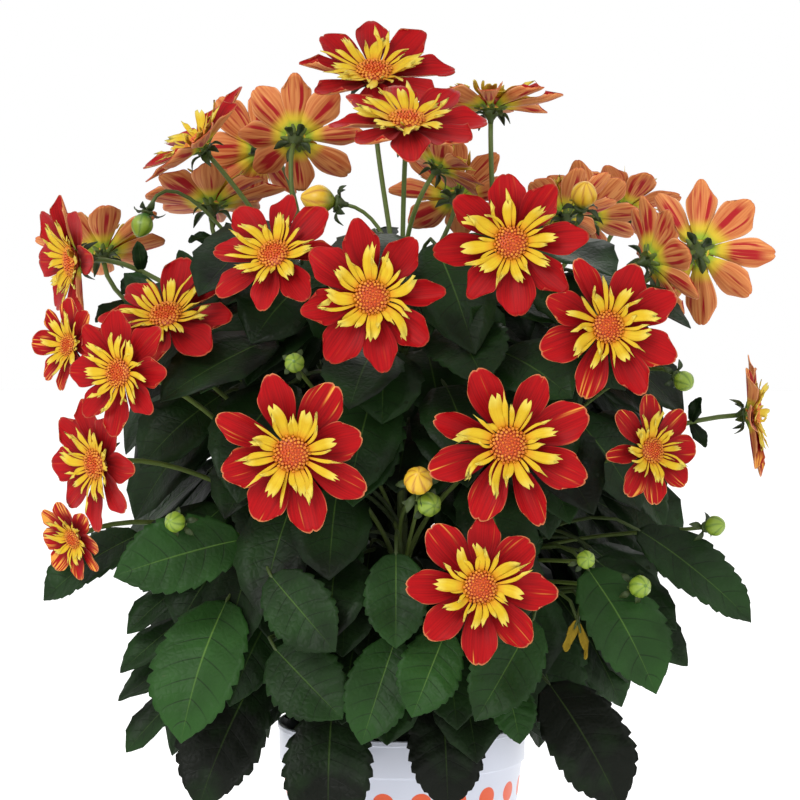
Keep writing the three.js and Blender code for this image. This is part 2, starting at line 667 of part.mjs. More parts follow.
// What a flower or bud sits on: the size of its green cup against that of a full flower, and how
// far behind the middle of the flower's face, or of the bud, the stalk ends.
function cupPlan(borne) {
  const flower = Boolean(borne.pieces);
  const scale = flower ? borne.size / BLOOM_DIAMETER : borne.size / BUD_DIAMETER;
  const body = flower ? HUB_THICKNESS * scale : borne.size / 2;
  return { scale, behind: body + CUP_DEPTH * scale + CLEARANCE };
}

// The stalks of one sector, those of flowers first: what each bears, which way that looks, the
// size of its cup and the line of the stalk.
function stalkPlans(stem) {
  const borne = [...BLOOMS, ...BUDS].filter((one) => one.stem === stem);
  const wanted = borne.map(({ at: [x, y, z] }) => z - 0.55 * Math.hypot(x, y) - 40);
  const heights = branchHeights(wanted, LOWEST_STALK_NODE, STEM_TOP - 6);
  return borne.map((one, i) => {
    const look = direction(one.turn, one.lift);
    const { scale, behind } = cupPlan(one);
    const end = point(one.at).addScaledVector(look, -behind);
    return { one, look, scale, line: stalkLine(stem, heights[i], end, look) };
  });
}

// Whether a point comes within some room of a blade.
function nearBlade({ axes, root, width, arch }, p, room) {
  const from = new THREE.Vector3().subVectors(p, root);
  const s = from.dot(axes.along) / axes.length;
  if (s < 0 || s > 1) {
    return false;
  }
  const across = from.dot(axes.side);
  const height = from.dot(axes.face) - bladeRise(arch, axes.length, s, across);
  return Math.abs(across) < bladeHalf(width, s) + MARGIN_ROOM && Math.abs(height) < room;
}

// Whether a point comes near a flower's spread petals, or the cup behind them.
function nearBloom(bloom, p) {
  const look = direction(bloom.turn, bloom.lift);
  const from = new THREE.Vector3().subVectors(p, point(bloom.at));
  const ahead = from.dot(look);
  const off = Math.sqrt(Math.max(0, from.lengthSq() - ahead * ahead));
  const petals = Math.abs(ahead - off * Math.tan(radians(bloom.cup)) - PETAL_LIFT) < PETAL_ROOM;
  const heart = off < HEART_ROOM.off && Math.abs(ahead) < HEART_ROOM.ahead;
  return (off < bloom.size / 2 + PETAL_END_ROOM && petals) || heart;
}

// Points spread over a blade.
function bladePoints({ axes, root, width, arch }) {
  return BLADE_SHARES.flatMap((s) => BLADE_SPREAD.map((spread) => {
    const across = spread * bladeHalf(width, s);
    return root.clone()
      .addScaledVector(axes.along, s * axes.length)
      .addScaledVector(axes.side, across)
      .addScaledVector(axes.face, bladeRise(arch, axes.length, s, across));
  }));
}

// Whether a blade keeps clear of every stalk, flower and bud and of the blades set so far.
function isClear(plan, stalks, placed) {
  const points = bladePoints(plan);
  return stalks.every((p) => !nearBlade(plan, p, BLADE_ROOM))
    && points.every((p) => !BLOOMS.some((bloom) => nearBloom(bloom, p)))
    && points.every((p) => !BUDS.some((bud) => p.distanceTo(point(bud.at)) < bud.size / 2 + BLADE_ROOM))
    && placed.every((other) => points.every((p) => !nearBlade(other, p, LEAF_ROOM)))
    && placed.every((other) => other.points.every((p) => !nearBlade(plan, p, LEAF_ROOM)));
}

// A shown leaf, facing outwards from where it hangs.
function shownLeaf({ root: [x, y, z], tip, width, stem }, i) {
  const out = new THREE.Vector3(0.35 * x, y, 0).normalize().addScaledVector(UP, 0.35);
  return { stem, root: point([x, y, z]), tip: point(tip), width, out, arch: SHOWN_ARCH, teeth: 5, key: 90 + i };
}

// A leaf of a row, moved by a shift of [degrees round the pot, height].
function rowLeaf(stem, row, place, key, [turn, rise]) {
  const outward = direction(SECTORS[stem] + place + turn, 0);
  const root = outward.clone().multiplyScalar(row.r + 5 * wobble(key));
  root.setZ(row.z + rise + 8 * wobble(key + 1));
  const swing = SECTORS[stem] + place + turn + 6 * wobble(key + 3);
  const way = direction(swing, -row.drop - 6 * wobble(key + 4));
  const tip = root.clone().addScaledVector(way, row.length * (1 + 0.08 * wobble(key + 2)));
  const out = outward.addScaledVector(UP, LEAF_OPEN);
  out.addScaledVector(direction(0, 0), LIGHT_LEAN * (1 + 0.6 * wobble(key + 6))).normalize();
  return { stem, root, tip, width: row.width, out, arch: ROW_ARCH, teeth: row.teeth, key };
}

// Every leaf of the bush: the shown ones where they show, then the rows. A leaf of a row takes the
// first of its shifts that keeps it clear, and is left out where none does.
function placedLeaves() {
  const stalks = AROUND.flatMap((stem) => stalkPlans(stem).flatMap(({ line }) => line.getPoints(STALK_MARKS)));
  const placed = [];
  const set = (plan) => placed.push({ ...plan, points: bladePoints(plan) });
  const withAxes = (plan) => ({ ...plan, axes: bladeAxes(plan) });
  SHOWN_LEAVES.map(shownLeaf).map(withAxes).forEach(set);
  for (const row of LEAF_ROWS) {
    for (const stem of row.sectors) {
      row.places.forEach((place, i) => {
        const key = SECTORS[stem] + row.z + i * 5;
        const choices = LEAF_SHIFTS.map((shift) => withAxes(rowLeaf(stem, row, place, key, shift)));
        const choice = choices.find((plan) => isClear(plan, stalks, placed));
        if (choice) {
          set(choice);
        }
      });
    }
  }
  return placed;
}

const LEAVES = placedLeaves();

function leavesOf(stem) {
  const plans = LEAVES.filter((plan) => plan.stem === stem);
  const wanted = plans.map(({ root }) => root.z - 0.3 * Math.hypot(root.x, root.y));
  const heights = branchHeights(wanted, LOWEST_LEAF_NODE, STEM_TOP - 4);
  return plans.map((plan, i) => leaf({ ...plan, start: stemPoint(stem, heights[i]) }));
}

// The stalk and the green cup of a flower.
function bloomSupport(plan) {
  const { shell, top } = stalkShell(plan, STALK_RADIUS, FLOWER_CUP);
  shell.face(...top);
  return shell.geometry();
}

function budBall(bud) {
  const ball = new THREE.SphereGeometry(bud.size / 2, 7, 5);
  return ball.rotateX(Math.PI / 2);
}

// The stalk and cup of a bud, with the bud itself where it is still green.
function budSupport(plan) {
  const { one, look } = plan;
  const { shell, top, rim, round } = stalkShell(plan, PETIOLE_RADIUS, BUD_CUP);
  if (one.ripe) {
    shell.face(...top);
    return shell.geometry();
  }
  const ahead = (share) => rim.clone().addScaledVector(look, share * one.size);
  const rings = [top];
  for (const [share, wide] of BUD_OUTLINE) {
    rings.push(shell.ring(round(ahead(share), wide * one.size)));
  }
  rings.slice(1).forEach((ring, i) => shell.band(rings[i], ring));
  shell.face(...rings[rings.length - 1]);
  return shell.geometry();
}

function stalksOf(stem) {
  return stalkPlans(stem).map((plan) => (plan.one.pieces ? bloomSupport(plan) : budSupport(plan)));
}

function leafyStem(stem) {
  return named(`leafy_stem_${stem}`, fuse([mainStem(stem), ...leavesOf(stem), ...stalksOf(stem)]), GREEN);
}

// A flower's pieces, set where it is: rays and heart apart, or the whole of a small back one.
function bloomPieces(bloom, index) {
  const label = `bloom_${String(index + 1).padStart(2, '0')}`;
  const scale = bloom.size / BLOOM_DIAMETER;
  const shape = (shell) => shell.geometry().scale(scale, scale, scale);
  const parts = bloom.pieces === 'one'
    ? [named(label, shape(wholeFlower(bloom, index)), APRICOT)]
    : [
      named(`${label}_rays`, shape(rayWheel(bloom, index)), RED),
      named(`${label}_heart`, shape(heartShell(bloom, index, CLEARANCE / scale)), YELLOW),
    ];
  for (const part of parts) {
    part.position.set(...bloom.at);
    part.quaternion.copy(facing(direction(bloom.turn, bloom.lift)));
    part.rotateZ(radians(bloom.spin || 0));
  }
  return parts;
}

// A turned body from a closed profile of [distance from the axis, height].
function turned(profile, sides) {
  return new THREE.LatheGeometry(profile.map(([r, z]) => new THREE.Vector2(r, z)), sides)
    .rotateX(Math.PI / 2);
}

function drill(x, y, low, high, radius, sides) {
  const hole = new THREE.CylinderGeometry(radius, radius, high - low, sides);
  return hole.rotateX(Math.PI / 2).translate(x, y, (high + low) / 2);
}

function potBody() {
  const band = POT_HEIGHT - RIM_BAND_HEIGHT;
  const neck = RIM_RADIUS - RIM_OVERHANG;
  const profile = [
    [0, 0],
    [POT_BASE_RADIUS, 0],
    [neck, band - 1],
    [RIM_RADIUS - 1, band],
    [RIM_RADIUS - 1, POT_HEIGHT - LIP_HEIGHT - 1],
    [RIM_RADIUS, POT_HEIGHT - LIP_HEIGHT],
    [RIM_RADIUS, POT_HEIGHT],
    [RIM_RADIUS - POT_WALL - 1, POT_HEIGHT],
    [neck - POT_WALL, band],
    [POT_BASE_RADIUS - POT_WALL, POT_WALL],
    [0, POT_WALL],
  ];
  let pot = solid(turned(profile, POT_SIDES));
  for (let i = 0; i < DRAIN_HOLES; i += 1) {
    const out = direction(45 + (360 * i) / DRAIN_HOLES, 0).multiplyScalar(DRAIN_RING_RADIUS);
    pot = pot.subtract(solid(drill(out.x, out.y, -5, POT_WALL + 5, DRAIN_RADIUS, 8)));
  }
  return named('pot', geometryOf(pot), WHITE);
}

function soilBody() {
  const low = POT_WALL + CLEARANCE;
  const high = POT_HEIGHT - SOIL_BELOW_RIM;
  const band = POT_HEIGHT - RIM_BAND_HEIGHT;
  const neck = RIM_RADIUS - RIM_OVERHANG - POT_WALL;
  const inner = POT_BASE_RADIUS - POT_WALL;
  const wall = (z) => inner + ((neck - inner) * (z - POT_WALL)) / (band - POT_WALL) - 2 * CLEARANCE;
  const profile = [
    [0, low],
    [wall(low), low],
    [wall(band - 1), band - 1],
    [SOIL_MOUND.edge, high],
    [SOIL_MOUND.shoulder, high + SOIL_MOUND.rise],
    [0, high + SOIL_MOUND.rise - 1],
  ];
  let soil = solid(turned(profile, POT_SIDES));
  for (const stem of Object.keys(SECTORS)) {
    const at = stemPoint(stem, high);
    const depth = high - STEM_DEPTH_IN_SOIL - 2;
    soil = soil.subtract(solid(drill(at.x, at.y, depth, high + 20, STEM_RADIUS + STEM_HOLE_ROOM, 6)));
  }
  return named('soil', geometryOf(soil), SOIL);
}

const plant = new THREE.Group();
plant.add(potBody(), soilBody());
for (const stem of Object.keys(SECTORS)) {
  plant.add(leafyStem(stem));
}
BLOOMS.forEach((bloom, i) => plant.add(...bloomPieces(bloom, i)));
BUDS.filter((bud) => bud.ripe).forEach((bud, i) => {
  const ball = named(`bud_${i + 1}`, budBall(bud), YELLOW);
  ball.position.set(...bud.at);
  ball.quaternion.copy(facing(direction(bud.turn, bud.lift)));
  plant.add(ball);
});

export default plant;
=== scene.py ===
# %% [markdown]
# # A potted dahlia, dressed
# The CAD model of this plant is plain: eight flat rays to a flower, leaves of a few dozen triangles.
# It fixes where everything is. This script loads it as a frame that never moves, and lays finer
# pieces over it: veined leaves, grooved petals, a collar of forked petals, a disc of tiny florets.
# Everything is in metres. The plant's front faces -Y, and +Z is up.

import bpy
import numpy as np
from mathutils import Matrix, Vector


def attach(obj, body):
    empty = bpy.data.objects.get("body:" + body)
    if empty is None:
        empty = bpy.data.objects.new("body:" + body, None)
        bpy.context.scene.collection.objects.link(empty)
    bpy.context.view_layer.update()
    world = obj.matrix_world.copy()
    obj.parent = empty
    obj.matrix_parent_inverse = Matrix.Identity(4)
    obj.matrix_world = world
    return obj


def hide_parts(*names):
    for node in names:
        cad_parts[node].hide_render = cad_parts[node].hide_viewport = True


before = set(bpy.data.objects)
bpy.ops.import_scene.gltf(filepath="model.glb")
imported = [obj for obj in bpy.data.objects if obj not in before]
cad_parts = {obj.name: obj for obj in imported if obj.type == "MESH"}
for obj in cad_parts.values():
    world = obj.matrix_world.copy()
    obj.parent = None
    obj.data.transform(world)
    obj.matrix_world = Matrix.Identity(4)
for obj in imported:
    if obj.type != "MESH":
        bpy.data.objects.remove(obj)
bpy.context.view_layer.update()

print("CAD nodes:", len(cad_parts))

# %% [markdown]
# ## Numbers that the whole plant shares
# The tables are in millimetres, as a gardener would measure, and MM turns them to metres. No two
# leaves are alike, so small differences come from a function that always gives the same answer
# for the same key. The plant is then the same each time that the script runs.

# %% Shared numbers and directions
MM = 0.001
UP = np.array([0.0, 0.0, 1.0])
SECTORS = {
    "front": 0,
    "front_right": 60,
    "back_right": 120,
    "back": 180,
    "back_left": -120,
    "front_left": -60,
}


def wobble(key):
    """A number from -1 to 1 for a key: what is left of a large sine once its whole part is gone."""
    spread = np.sin(np.asarray(key, float) * 12.9898) * 43758.5453
    return 2 * (spread - np.floor(spread)) - 1


def direction(turn, lift=0.0):
    """The unit vector that looks turn degrees right of the front and lift degrees above level."""
    t, l = np.broadcast_arrays(np.radians(turn), np.radians(lift))
    return np.stack([np.sin(t) * np.cos(l), -np.cos(t) * np.cos(l), np.sin(l)], axis=-1)


def unit(vectors):
    """Vectors of any array shape, each divided by its length."""
    return vectors / np.linalg.norm(vectors, axis=-1, keepdims=True)


def ease(x, low, high):
    """0 below low, 1 above high, and a smooth S between them: 3t^2 - 2t^3."""
    t = np.clip((x - low) / (high - low), 0, 1)
    return t * t * (3 - 2 * t)


def polar(r, angle, z):
    """Points at a distance r from an axis, an angle round it in radians, and a height z along it."""
    return np.stack(np.broadcast_arrays(r * np.cos(angle), r * np.sin(angle), z), axis=-1)


print("five wobbles:", wobble(np.arange(5)).round(2))

# %% [markdown]
# ## Making a mesh from arrays
# Every piece is many small shapes with the same plan, such as the eight rays of a flower. Each is a
# grid of points, so its faces are known before its form is. A Shape collects points and faces, and
# writes them into one mesh at the end. Each point carries its UV, which says where on the petal or
# leaf it is, and two marks: tint, which tells one leaf from the next and on a green leaf is painted
# light and shade, and streak, for markings, which on a bud marks the folds that are painted darker
# as shade.


# %% Shape: the arrays of one piece
class Shape:
    """Points, faces and finishes in the making."""

    def __init__(self):
        self.points, self.uv, self.marks = [], [], []
        self.corners, self.sizes, self.finish = [], [], []
        self.count = 0

    def add(self, points, uv, marks, *groups):
        """points [n, 3], uv [n, 2], marks [n, 2] and groups of (faces [f, corners], finish)."""
        self.points.append(points)
        self.uv.append(uv)
        self.marks.append(np.broadcast_to(marks, (len(points), 2)))
        for faces, finish in groups:
            self.corners.append((faces + self.count).ravel())
            self.sizes.append(np.full(len(faces), faces.shape[1]))
            self.finish.append(np.broadcast_to(finish, len(faces)))
        self.count += len(points)

    def triangles(self):
        return int(sum((sizes - 2).sum() for sizes in self.sizes))

    def build(self, name, finishes):
        """The mesh object: points and faces as they were added, smooth, with UVs, marks, finishes."""
        corners, sizes = np.concatenate(self.corners), np.concatenate(self.sizes)
        mesh = bpy.data.meshes.new(name)
        mesh.vertices.add(self.count)
        mesh.vertices.foreach_set("co", np.concatenate(self.points).ravel())
        mesh.loops.add(len(corners))
        mesh.loops.foreach_set("vertex_index", corners)
        mesh.polygons.add(len(sizes))
        mesh.polygons.foreach_set("loop_start", np.cumsum(sizes) - sizes)
        mesh.polygons.foreach_set("material_index", np.concatenate(self.finish))
        mesh.update(calc_edges=True)
        mesh.uv_layers.new(name="UVMap").data.foreach_set("uv", np.concatenate(self.uv)[corners].ravel())
        for i, mark in enumerate(("tint", "streak")):
            values = np.concatenate(self.marks)[:, i].astype(np.float32)
            mesh.attributes.new(mark, "FLOAT", "POINT").data.foreach_set("value", values)
        mesh.shade_smooth()
        for finish in finishes:
            mesh.materials.append(finish)
        made = bpy.data.objects.new(name, mesh)
        bpy.context.scene.collection.objects.link(made)
        return made


def dress(piece, node):
    """Lets a piece ride on the plant in place of a CAD node, which it hides."""
    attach(piece, "root")
    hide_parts(node)


print("an empty shape has", Shape().count, "points")

# %% [markdown]
# ## Blades, rods and turned shapes
# Three plans make the whole plant. A blade is a thin closed sheet: its upper face runs across the
# grid one way and its lower face back, so that one ring of columns goes right round it. A rod is a
# circle carried along a line. A turned shape is a profile spun round an axis. All three are rings
# of points, and each ring is joined to the next by faces of four corners.


# %% Blades
def ring_faces(rows, ring):
    """The faces between rows of rings, by the numbers of their corners. They look outwards where the
    rings run anticlockwise as seen from the last."""
    j = np.arange(ring)
    ahead = (j + 1) % ring
    i = ring * np.arange(rows - 1)[:, None]
    return np.stack([i + j, i + ahead, i + ring + ahead, i + ring + j], axis=-1).reshape(-1, 4)


def add_blades(shape, top, bottom, u, v, marks):
    """Closed blades from points [blade, row, column, xyz] of both faces; finish 0 above, 1 below.
    Faces join each ring of top and bottom columns to the next row, and strips close both ends."""
    count, rows, columns = top.shape[:3]
    ring = 2 * columns
    a = np.arange(columns - 1)
    low = np.stack([a, a + 1, ring - 2 - a, ring - 1 - a], axis=-1)
    high = low[:, ::-1] + ring * (rows - 1)
    faces = np.concatenate([ring_faces(rows, ring)[:, [0, 3, 2, 1]], low, high])
    j = np.arange(ring)
    above = np.where((j < columns) | (j == ring - 1), 0, 1)
    finish = np.concatenate([np.tile(above, rows - 1), np.zeros(2 * len(a), int)])
    points = np.concatenate([top, bottom[:, :, ::-1]], axis=2).reshape(-1, 3)
    uv = np.stack(np.broadcast_arrays(u[:, None], (v[None, :] + 1) / 2), axis=-1)
    uv = np.tile(np.concatenate([uv, uv[:, ::-1]], axis=1).reshape(-1, 2), (count, 1))
    faces = (faces + rows * ring * np.arange(count)[:, None, None]).reshape(-1, 4)
    shape.add(points, uv, np.repeat(marks, rows * ring, axis=0), (faces, np.tile(finish, count)))


print("faces between 3 rings of 8 points:", len(ring_faces(3, 8)))

# %% Rods and turned shapes
def add_rings(shape, rings, finish, marks):
    """A closed tube through points [ring, side, xyz], with a flat cap on each end."""
    rows, sides = rings.shape[:2]
    j = np.arange(sides)
    uv = np.stack(np.broadcast_arrays(np.linspace(0, 1, rows)[:, None], j / sides), axis=-1)
    caps = np.stack([j[::-1], j + sides * (rows - 1)])
    walls = ring_faces(rows, sides)
    shape.add(rings.reshape(-1, 3), uv.reshape(-1, 2), marks, (walls, finish), (caps, finish))


def add_rod(shape, line, radius, sides, finish, marks):
    """A round rod along line [n, xyz]: each ring stands square to the line, and is turned so that
    it starts from the same direction, which is square to the line's own plane."""
    tangent = unit(np.gradient(line, axis=0))
    plane = np.cross(tangent[0], tangent[-1] + 0.31 * UP + [0.11, 0.07, 0])
    first = unit(np.cross(unit(plane), tangent))
    second = np.cross(tangent, first)
    a = np.linspace(0, 2 * np.pi, sides, endpoint=False)[None, :, None]
    radius = np.broadcast_to(radius, len(line))[:, None, None]
    rings = line[:, None] + radius * (np.cos(a) * first[:, None] + np.sin(a) * second[:, None])
    add_rings(shape, rings, finish, marks)


def add_turned(shape, profile, sides, place, axes, finish, marks):
    """A shape turned round the third of axes: profile holds [distance from it, height along it]."""
    a = np.linspace(0, 2 * np.pi, sides, endpoint=False)
    r, z = np.array(profile, float).T[:, :, None]
    add_rings(shape, place + polar(r, a, z) @ axes, finish, marks)


def facing(look):
    """Rows are the axes of a piece that looks that way: its side, its rise and the look itself."""
    side = np.cross(UP, look)
    if np.linalg.norm(side) < 0.01:
        side = np.array([1.0, 0.0, 0.0])
    side = unit(side)
    return np.stack([side, np.cross(look, side), look])


print("axes of a flower that faces the front:", facing(direction(0)).round(2).tolist())

# %% [markdown]
# ## Colours and nodes
# A colour is written as the sRGB hex value that one would pick off a screen, and one function turns
# it to the linear light that the renderer works in. One more adds a node with its settings and
# links. Every finish here is one colour with others laid over it in turn, like coats of paint
# through stencils, so a loop lays them. Each material then reads as a list of its patterns.


# %% Helpers for materials
def linear(colour):
    """Linear RGBA of a hex colour: the sRGB curve undone."""
    value = np.array([int(colour[i : i + 2], 16) for i in (1, 3, 5)]) / 255
    return (*np.where(value <= 0.04045, value / 12.92, ((value + 0.055) / 1.055) ** 2.4), 1.0)


def add_node(tree, kind, inputs=None, **settings):
    """A new node. Inputs are values, or what feeds them: a socket, or a node by its first output
    that is in use. Settings are the node's own properties."""
    node = tree.nodes.new("ShaderNode" + kind)
    for key, value in settings.items():
        setattr(node, key, value)
    for key, value in (inputs or {}).items():
        if isinstance(value, bpy.types.Node):
            value = next(socket for socket in value.outputs if socket.enabled)
        if isinstance(value, bpy.types.NodeSocket):
            tree.links.new(value, node.inputs[key])
        else:
            node.inputs[key].default_value = value
    return node


def new_finish(name, **values):
    """A material and its node tree. The values are plain inputs of its Principled shader."""
    material = bpy.data.materials.new(name)
    material.use_nodes = True
    tree = material.node_tree
    for key, value in values.items():
        tree.nodes["Principled BSDF"].inputs[key.replace("_", " ")].default_value = value
    return material, tree


def coat(finish, base, layers, relief=None, strength=1.0, depth=0.0):
    """Lays hex colours over a base in turn, each by its own share from 0 to 1. A relief moves the
    surface by up to the depth, in metres."""
    tree = finish.node_tree
    shader = tree.nodes["Principled BSDF"]
    colour = linear(base)
    for share, over in layers:
        colour = add_node(tree, "Mix", {0: share, 6: colour, 7: linear(over)}, data_type="RGBA")
    tree.links.new(colour.outputs[2], shader.inputs["Base Color"])
    if relief is not None:
        bump = add_node(tree, "Bump", {"Strength": strength, "Distance": depth, "Height": relief})
        tree.links.new(bump.outputs[0], shader.inputs["Normal"])


print("leaf green in linear light:", [round(float(x), 3) for x in linear("#2C4F2C")])

# %% [markdown]
# ## Petals
# A dahlia's ray petal is a thin sheet of living cells: velvety, with veins that run its length.
# This kind is scarlet in front with a thin pale margin, and apricot with red flames behind. The
# pattern follows the petal, so it is drawn in the petal's UV: x runs from root to tip, y across.
# The cells scatter a little light back at a slant, which sheen stands for.

# %% Patterns on a blade, and the red face of a ray petal
PETAL_WIDTH = 26 * MM
PETAL_VEIN = 0.9 * MM
PETAL_RELIEF = 0.15 * MM


def blade_place(tree):
    """Where a point is on a blade: along it, across it, how far off its midline, and its tint."""
    uv = add_node(tree, "TexCoord").outputs["UV"]
    along, across, _ = add_node(tree, "SeparateXYZ", {0: uv}).outputs
    off_centre = add_node(tree, "Math", {0: across, 1: 0.5}, operation="SUBTRACT")
    side = add_node(tree, "Math", {0: off_centre}, operation="ABSOLUTE")
    tint = add_node(tree, "Attribute", attribute_name="tint").outputs["Fac"]
    return along, across, side, tint


def streaks(tree, place, scales, detail):
    """Noise drawn out along a petal. Scales say how many patches it has along the petal and across
    it, and how far apart two petals are in it for each step of tint."""
    along, across, _, tint = place
    shifted = add_node(tree, "CombineXYZ", {0: along, 1: across, 2: tint})
    stretch = add_node(tree, "Mapping", {0: shifted, 3: scales})
    return add_node(tree, "TexNoise", {"Vector": stretch, "Scale": 1.0, "Detail": detail})


def ray_face():
    """Scarlet with darker veins, a pale margin, and yellow flames by streak: stronger up to 1, and
    wider past it."""
    finish, tree = new_finish(
        "Scarlet petal face", Roughness=0.5, Specular_IOR_Level=0.1, Sheen_Weight=0.02
    )
    place = blade_place(tree)
    along, _, side, _ = place
    streak = add_node(tree, "Attribute", attribute_name="streak").outputs["Fac"]
    veins = streaks(tree, place, (1.6, PETAL_WIDTH / PETAL_VEIN, 40), 2.0)
    contrast = add_node(tree, "MapRange", {0: veins, 1: 0.35, 2: 0.65})
    # Darker towards the root: partly the petal's own deeper red, partly painted shade under the collar.
    outwards = add_node(tree, "MapRange", {0: along, 1: 0.35, 2: 0.8, 3: 0.15, 4: 0.62})
    red = add_node(
        tree, "Math", {0: contrast, 1: 0.48, 2: outwards}, operation="MULTIPLY_ADD", use_clamp=True
    )
    flames = streaks(tree, place, (0.9, 11, 60), 1.0)
    surplus = add_node(tree, "Math", {0: streak, 1: 1.0}, operation="SUBTRACT", use_clamp=True)
    wider = add_node(tree, "Math", {0: surplus, 1: 0.25, 2: flames}, operation="MULTIPLY_ADD")
    flame = add_node(tree, "MapRange", {0: wider, 1: 0.64, 2: 0.78}, interpolation_type="SMOOTHSTEP")
    outer = add_node(tree, "MapRange", {0: along, 1: 0.5, 2: 0.95}, interpolation_type="SMOOTHSTEP")
    flame_out = add_node(tree, "Math", {0: flame, 1: outer}, operation="MULTIPLY")
    flamed = add_node(tree, "Math", {0: flame_out, 1: streak}, operation="MULTIPLY")
    margin = add_node(tree, "MapRange", {0: side, 1: 0.475, 2: 0.5})
    tipwards = add_node(tree, "MapRange", {0: along, 1: 0.5, 2: 0.85})
    side_margin = add_node(tree, "Math", {0: margin, 1: tipwards}, operation="MULTIPLY")
    end_margin = add_node(tree, "MapRange", {0: along, 1: 0.972, 2: 1.0})
    rim = add_node(tree, "Math", {0: side_margin, 1: end_margin}, operation="MAXIMUM")
    strength = add_node(tree, "MapRange", {0: streak, 3: 0.1, 4: 0.85})
    rimmed = add_node(tree, "Math", {0: rim, 1: strength}, operation="MULTIPLY")
    layers = [(red, "#A0070D"), (flamed, "#D9943C"), (rimmed, "#D9905E")]
    coat(finish, "#5E040A", layers, veins, 0.5, PETAL_RELIEF)
    return finish


scarlet_petal = ray_face()
print("made", scarlet_petal.name)


# %% The apricot back of a ray petal
def ray_back():
    """Apricot with long red flames and paler margins, yellow and then green where it is rooted."""
    finish, tree = new_finish(
        "Apricot petal back", Roughness=0.62, Specular_IOR_Level=0.2, Sheen_Weight=0.03
    )
    place = blade_place(tree)
    along, _, side, _ = place
    veins = streaks(tree, place, (1.2, PETAL_WIDTH / (2 * PETAL_VEIN), 40), 2.0)
    contrast = add_node(tree, "MapRange", {0: veins, 1: 0.3, 2: 0.7})
    flames = streaks(tree, place, (1.1, 6.5, 70), 1.5)
    flame = add_node(tree, "MapRange", {0: flames, 1: 0.5, 2: 0.6}, interpolation_type="SMOOTHSTEP")
    inner = add_node(tree, "MapRange", {0: side, 1: 0.42, 2: 0.3}, interpolation_type="SMOOTHSTEP")
    outer = add_node(tree, "MapRange", {0: along, 1: 0.98, 2: 0.72}, interpolation_type="SMOOTHSTEP")
    flame_in = add_node(tree, "Math", {0: flame, 1: inner}, operation="MULTIPLY")
    flamed = add_node(tree, "Math", {0: flame_in, 1: outer}, operation="MULTIPLY")
    margin = add_node(tree, "MapRange", {0: side, 1: 0.45, 2: 0.5, 4: 0.7})
    near_root = add_node(
        tree, "MapRange", {0: along, 1: 0.42, 2: 0.22}, interpolation_type="SMOOTHSTEP"
    )
    at_root = add_node(tree, "MapRange", {0: along, 1: 0.24, 2: 0.1}, interpolation_type="SMOOTHSTEP")
    rooted = [(near_root, "#D6BC34"), (at_root, "#93B034")]
    layers = [(contrast, "#DE9659"), (flamed, "#A81A20"), (margin, "#F2B884"), *rooted]
    coat(finish, "#C06234", layers, veins, 0.6, 0.2 * MM)
    return finish


apricot_petal = ray_back()
print("made", apricot_petal.name)

# %% [markdown]
# The collar is the ring of short petals inside the rays. They are lemon yellow, deeper at the foot
# and paler at the tips, with the same long veins. The florets of the disc are tiny tubes: their
# throats are orange-red, painted darker towards the foot as the shade between the crowded
# florets, and the lips of the open ones are golden.


# %% The lemon collar and the orange disc
def collar_finish():
    """Lemon yellow: golden at the foot, cream at the tip, with a thin orange line at the margin."""
    finish, tree = new_finish(
        "Lemon collar petal", Roughness=0.6, Specular_IOR_Level=0.2, Sheen_Weight=0.02
    )
    place = blade_place(tree)
    along, _, side, _ = place
    veins = streaks(tree, place, (1.5, 7, 30), 2.0)
    tipwards = add_node(tree, "MapRange", {0: along, 1: 0.6, 2: 1.05})
    footwards = add_node(tree, "MapRange", {0: along, 1: 0.34, 2: 0.0})
    margin = add_node(tree, "MapRange", {0: side, 1: 0.46, 2: 0.5, 4: 0.5})
    shades = [(veins, "#D0B622"), (tipwards, "#D6C658"), (footwards, "#C97A0E")]
    coat(finish, "#BE9012", [*shades, (margin, "#CE7424")], veins, 0.5, PETAL_RELIEF)
    return finish


def floret_finish():
    """Orange-red, painted dark red towards the foot of each floret as the shade between the crowded
    florets, and golden at its lips; tint sets each one apart.
    """
    finish, tree = new_finish("Orange disc floret", Roughness=0.5)
    height, _, _, tint = blade_place(tree)
    # Painted shade: dark red towards each floret's foot, where the florets crowd.
    foot_shade = add_node(tree, "MapRange", {0: height, 1: 0.75, 2: 0.15})
    coat(finish, "#CE4A12", [(tint, "#E29220"), (foot_shade, "#8E220A")])
    return finish


lemon_collar = collar_finish()
orange_floret = floret_finish()
print("made", lemon_collar.name, "and", orange_floret.name)

# %% [markdown]
# ## Leaves and stalks
# A dahlia's leaf is a deep green, a little glossy above and dull and paler below. Its midrib is a
# pale line that fades to the tip, side veins sink in as arcs from it to the teeth, and a net of
# small veins puffs the skin between them into cushions. The dark of the side veins is painted
# shade in their grooves, and each green leaf is lighter or darker by its tint, which is painted
# light and shade: lit leaves lighter, shaded and inner ones darker. The rows of each leaf's grid
# lean forward as its side veins do, so a side vein is a line of even u that bends a little with v
# squared. The small net is a cell pattern on the real surface, a few millimetres wide. A withered
# leaf is the same leaf in straw and brown.

# %% The two faces of a leaf
SIDE_VEINS = 7
VEIN_BEND = 0.07
LEAF_NET = 4.5 * MM
LEAF_MOTTLE = 35 * MM
LEAF_RELIEF = 0.4 * MM


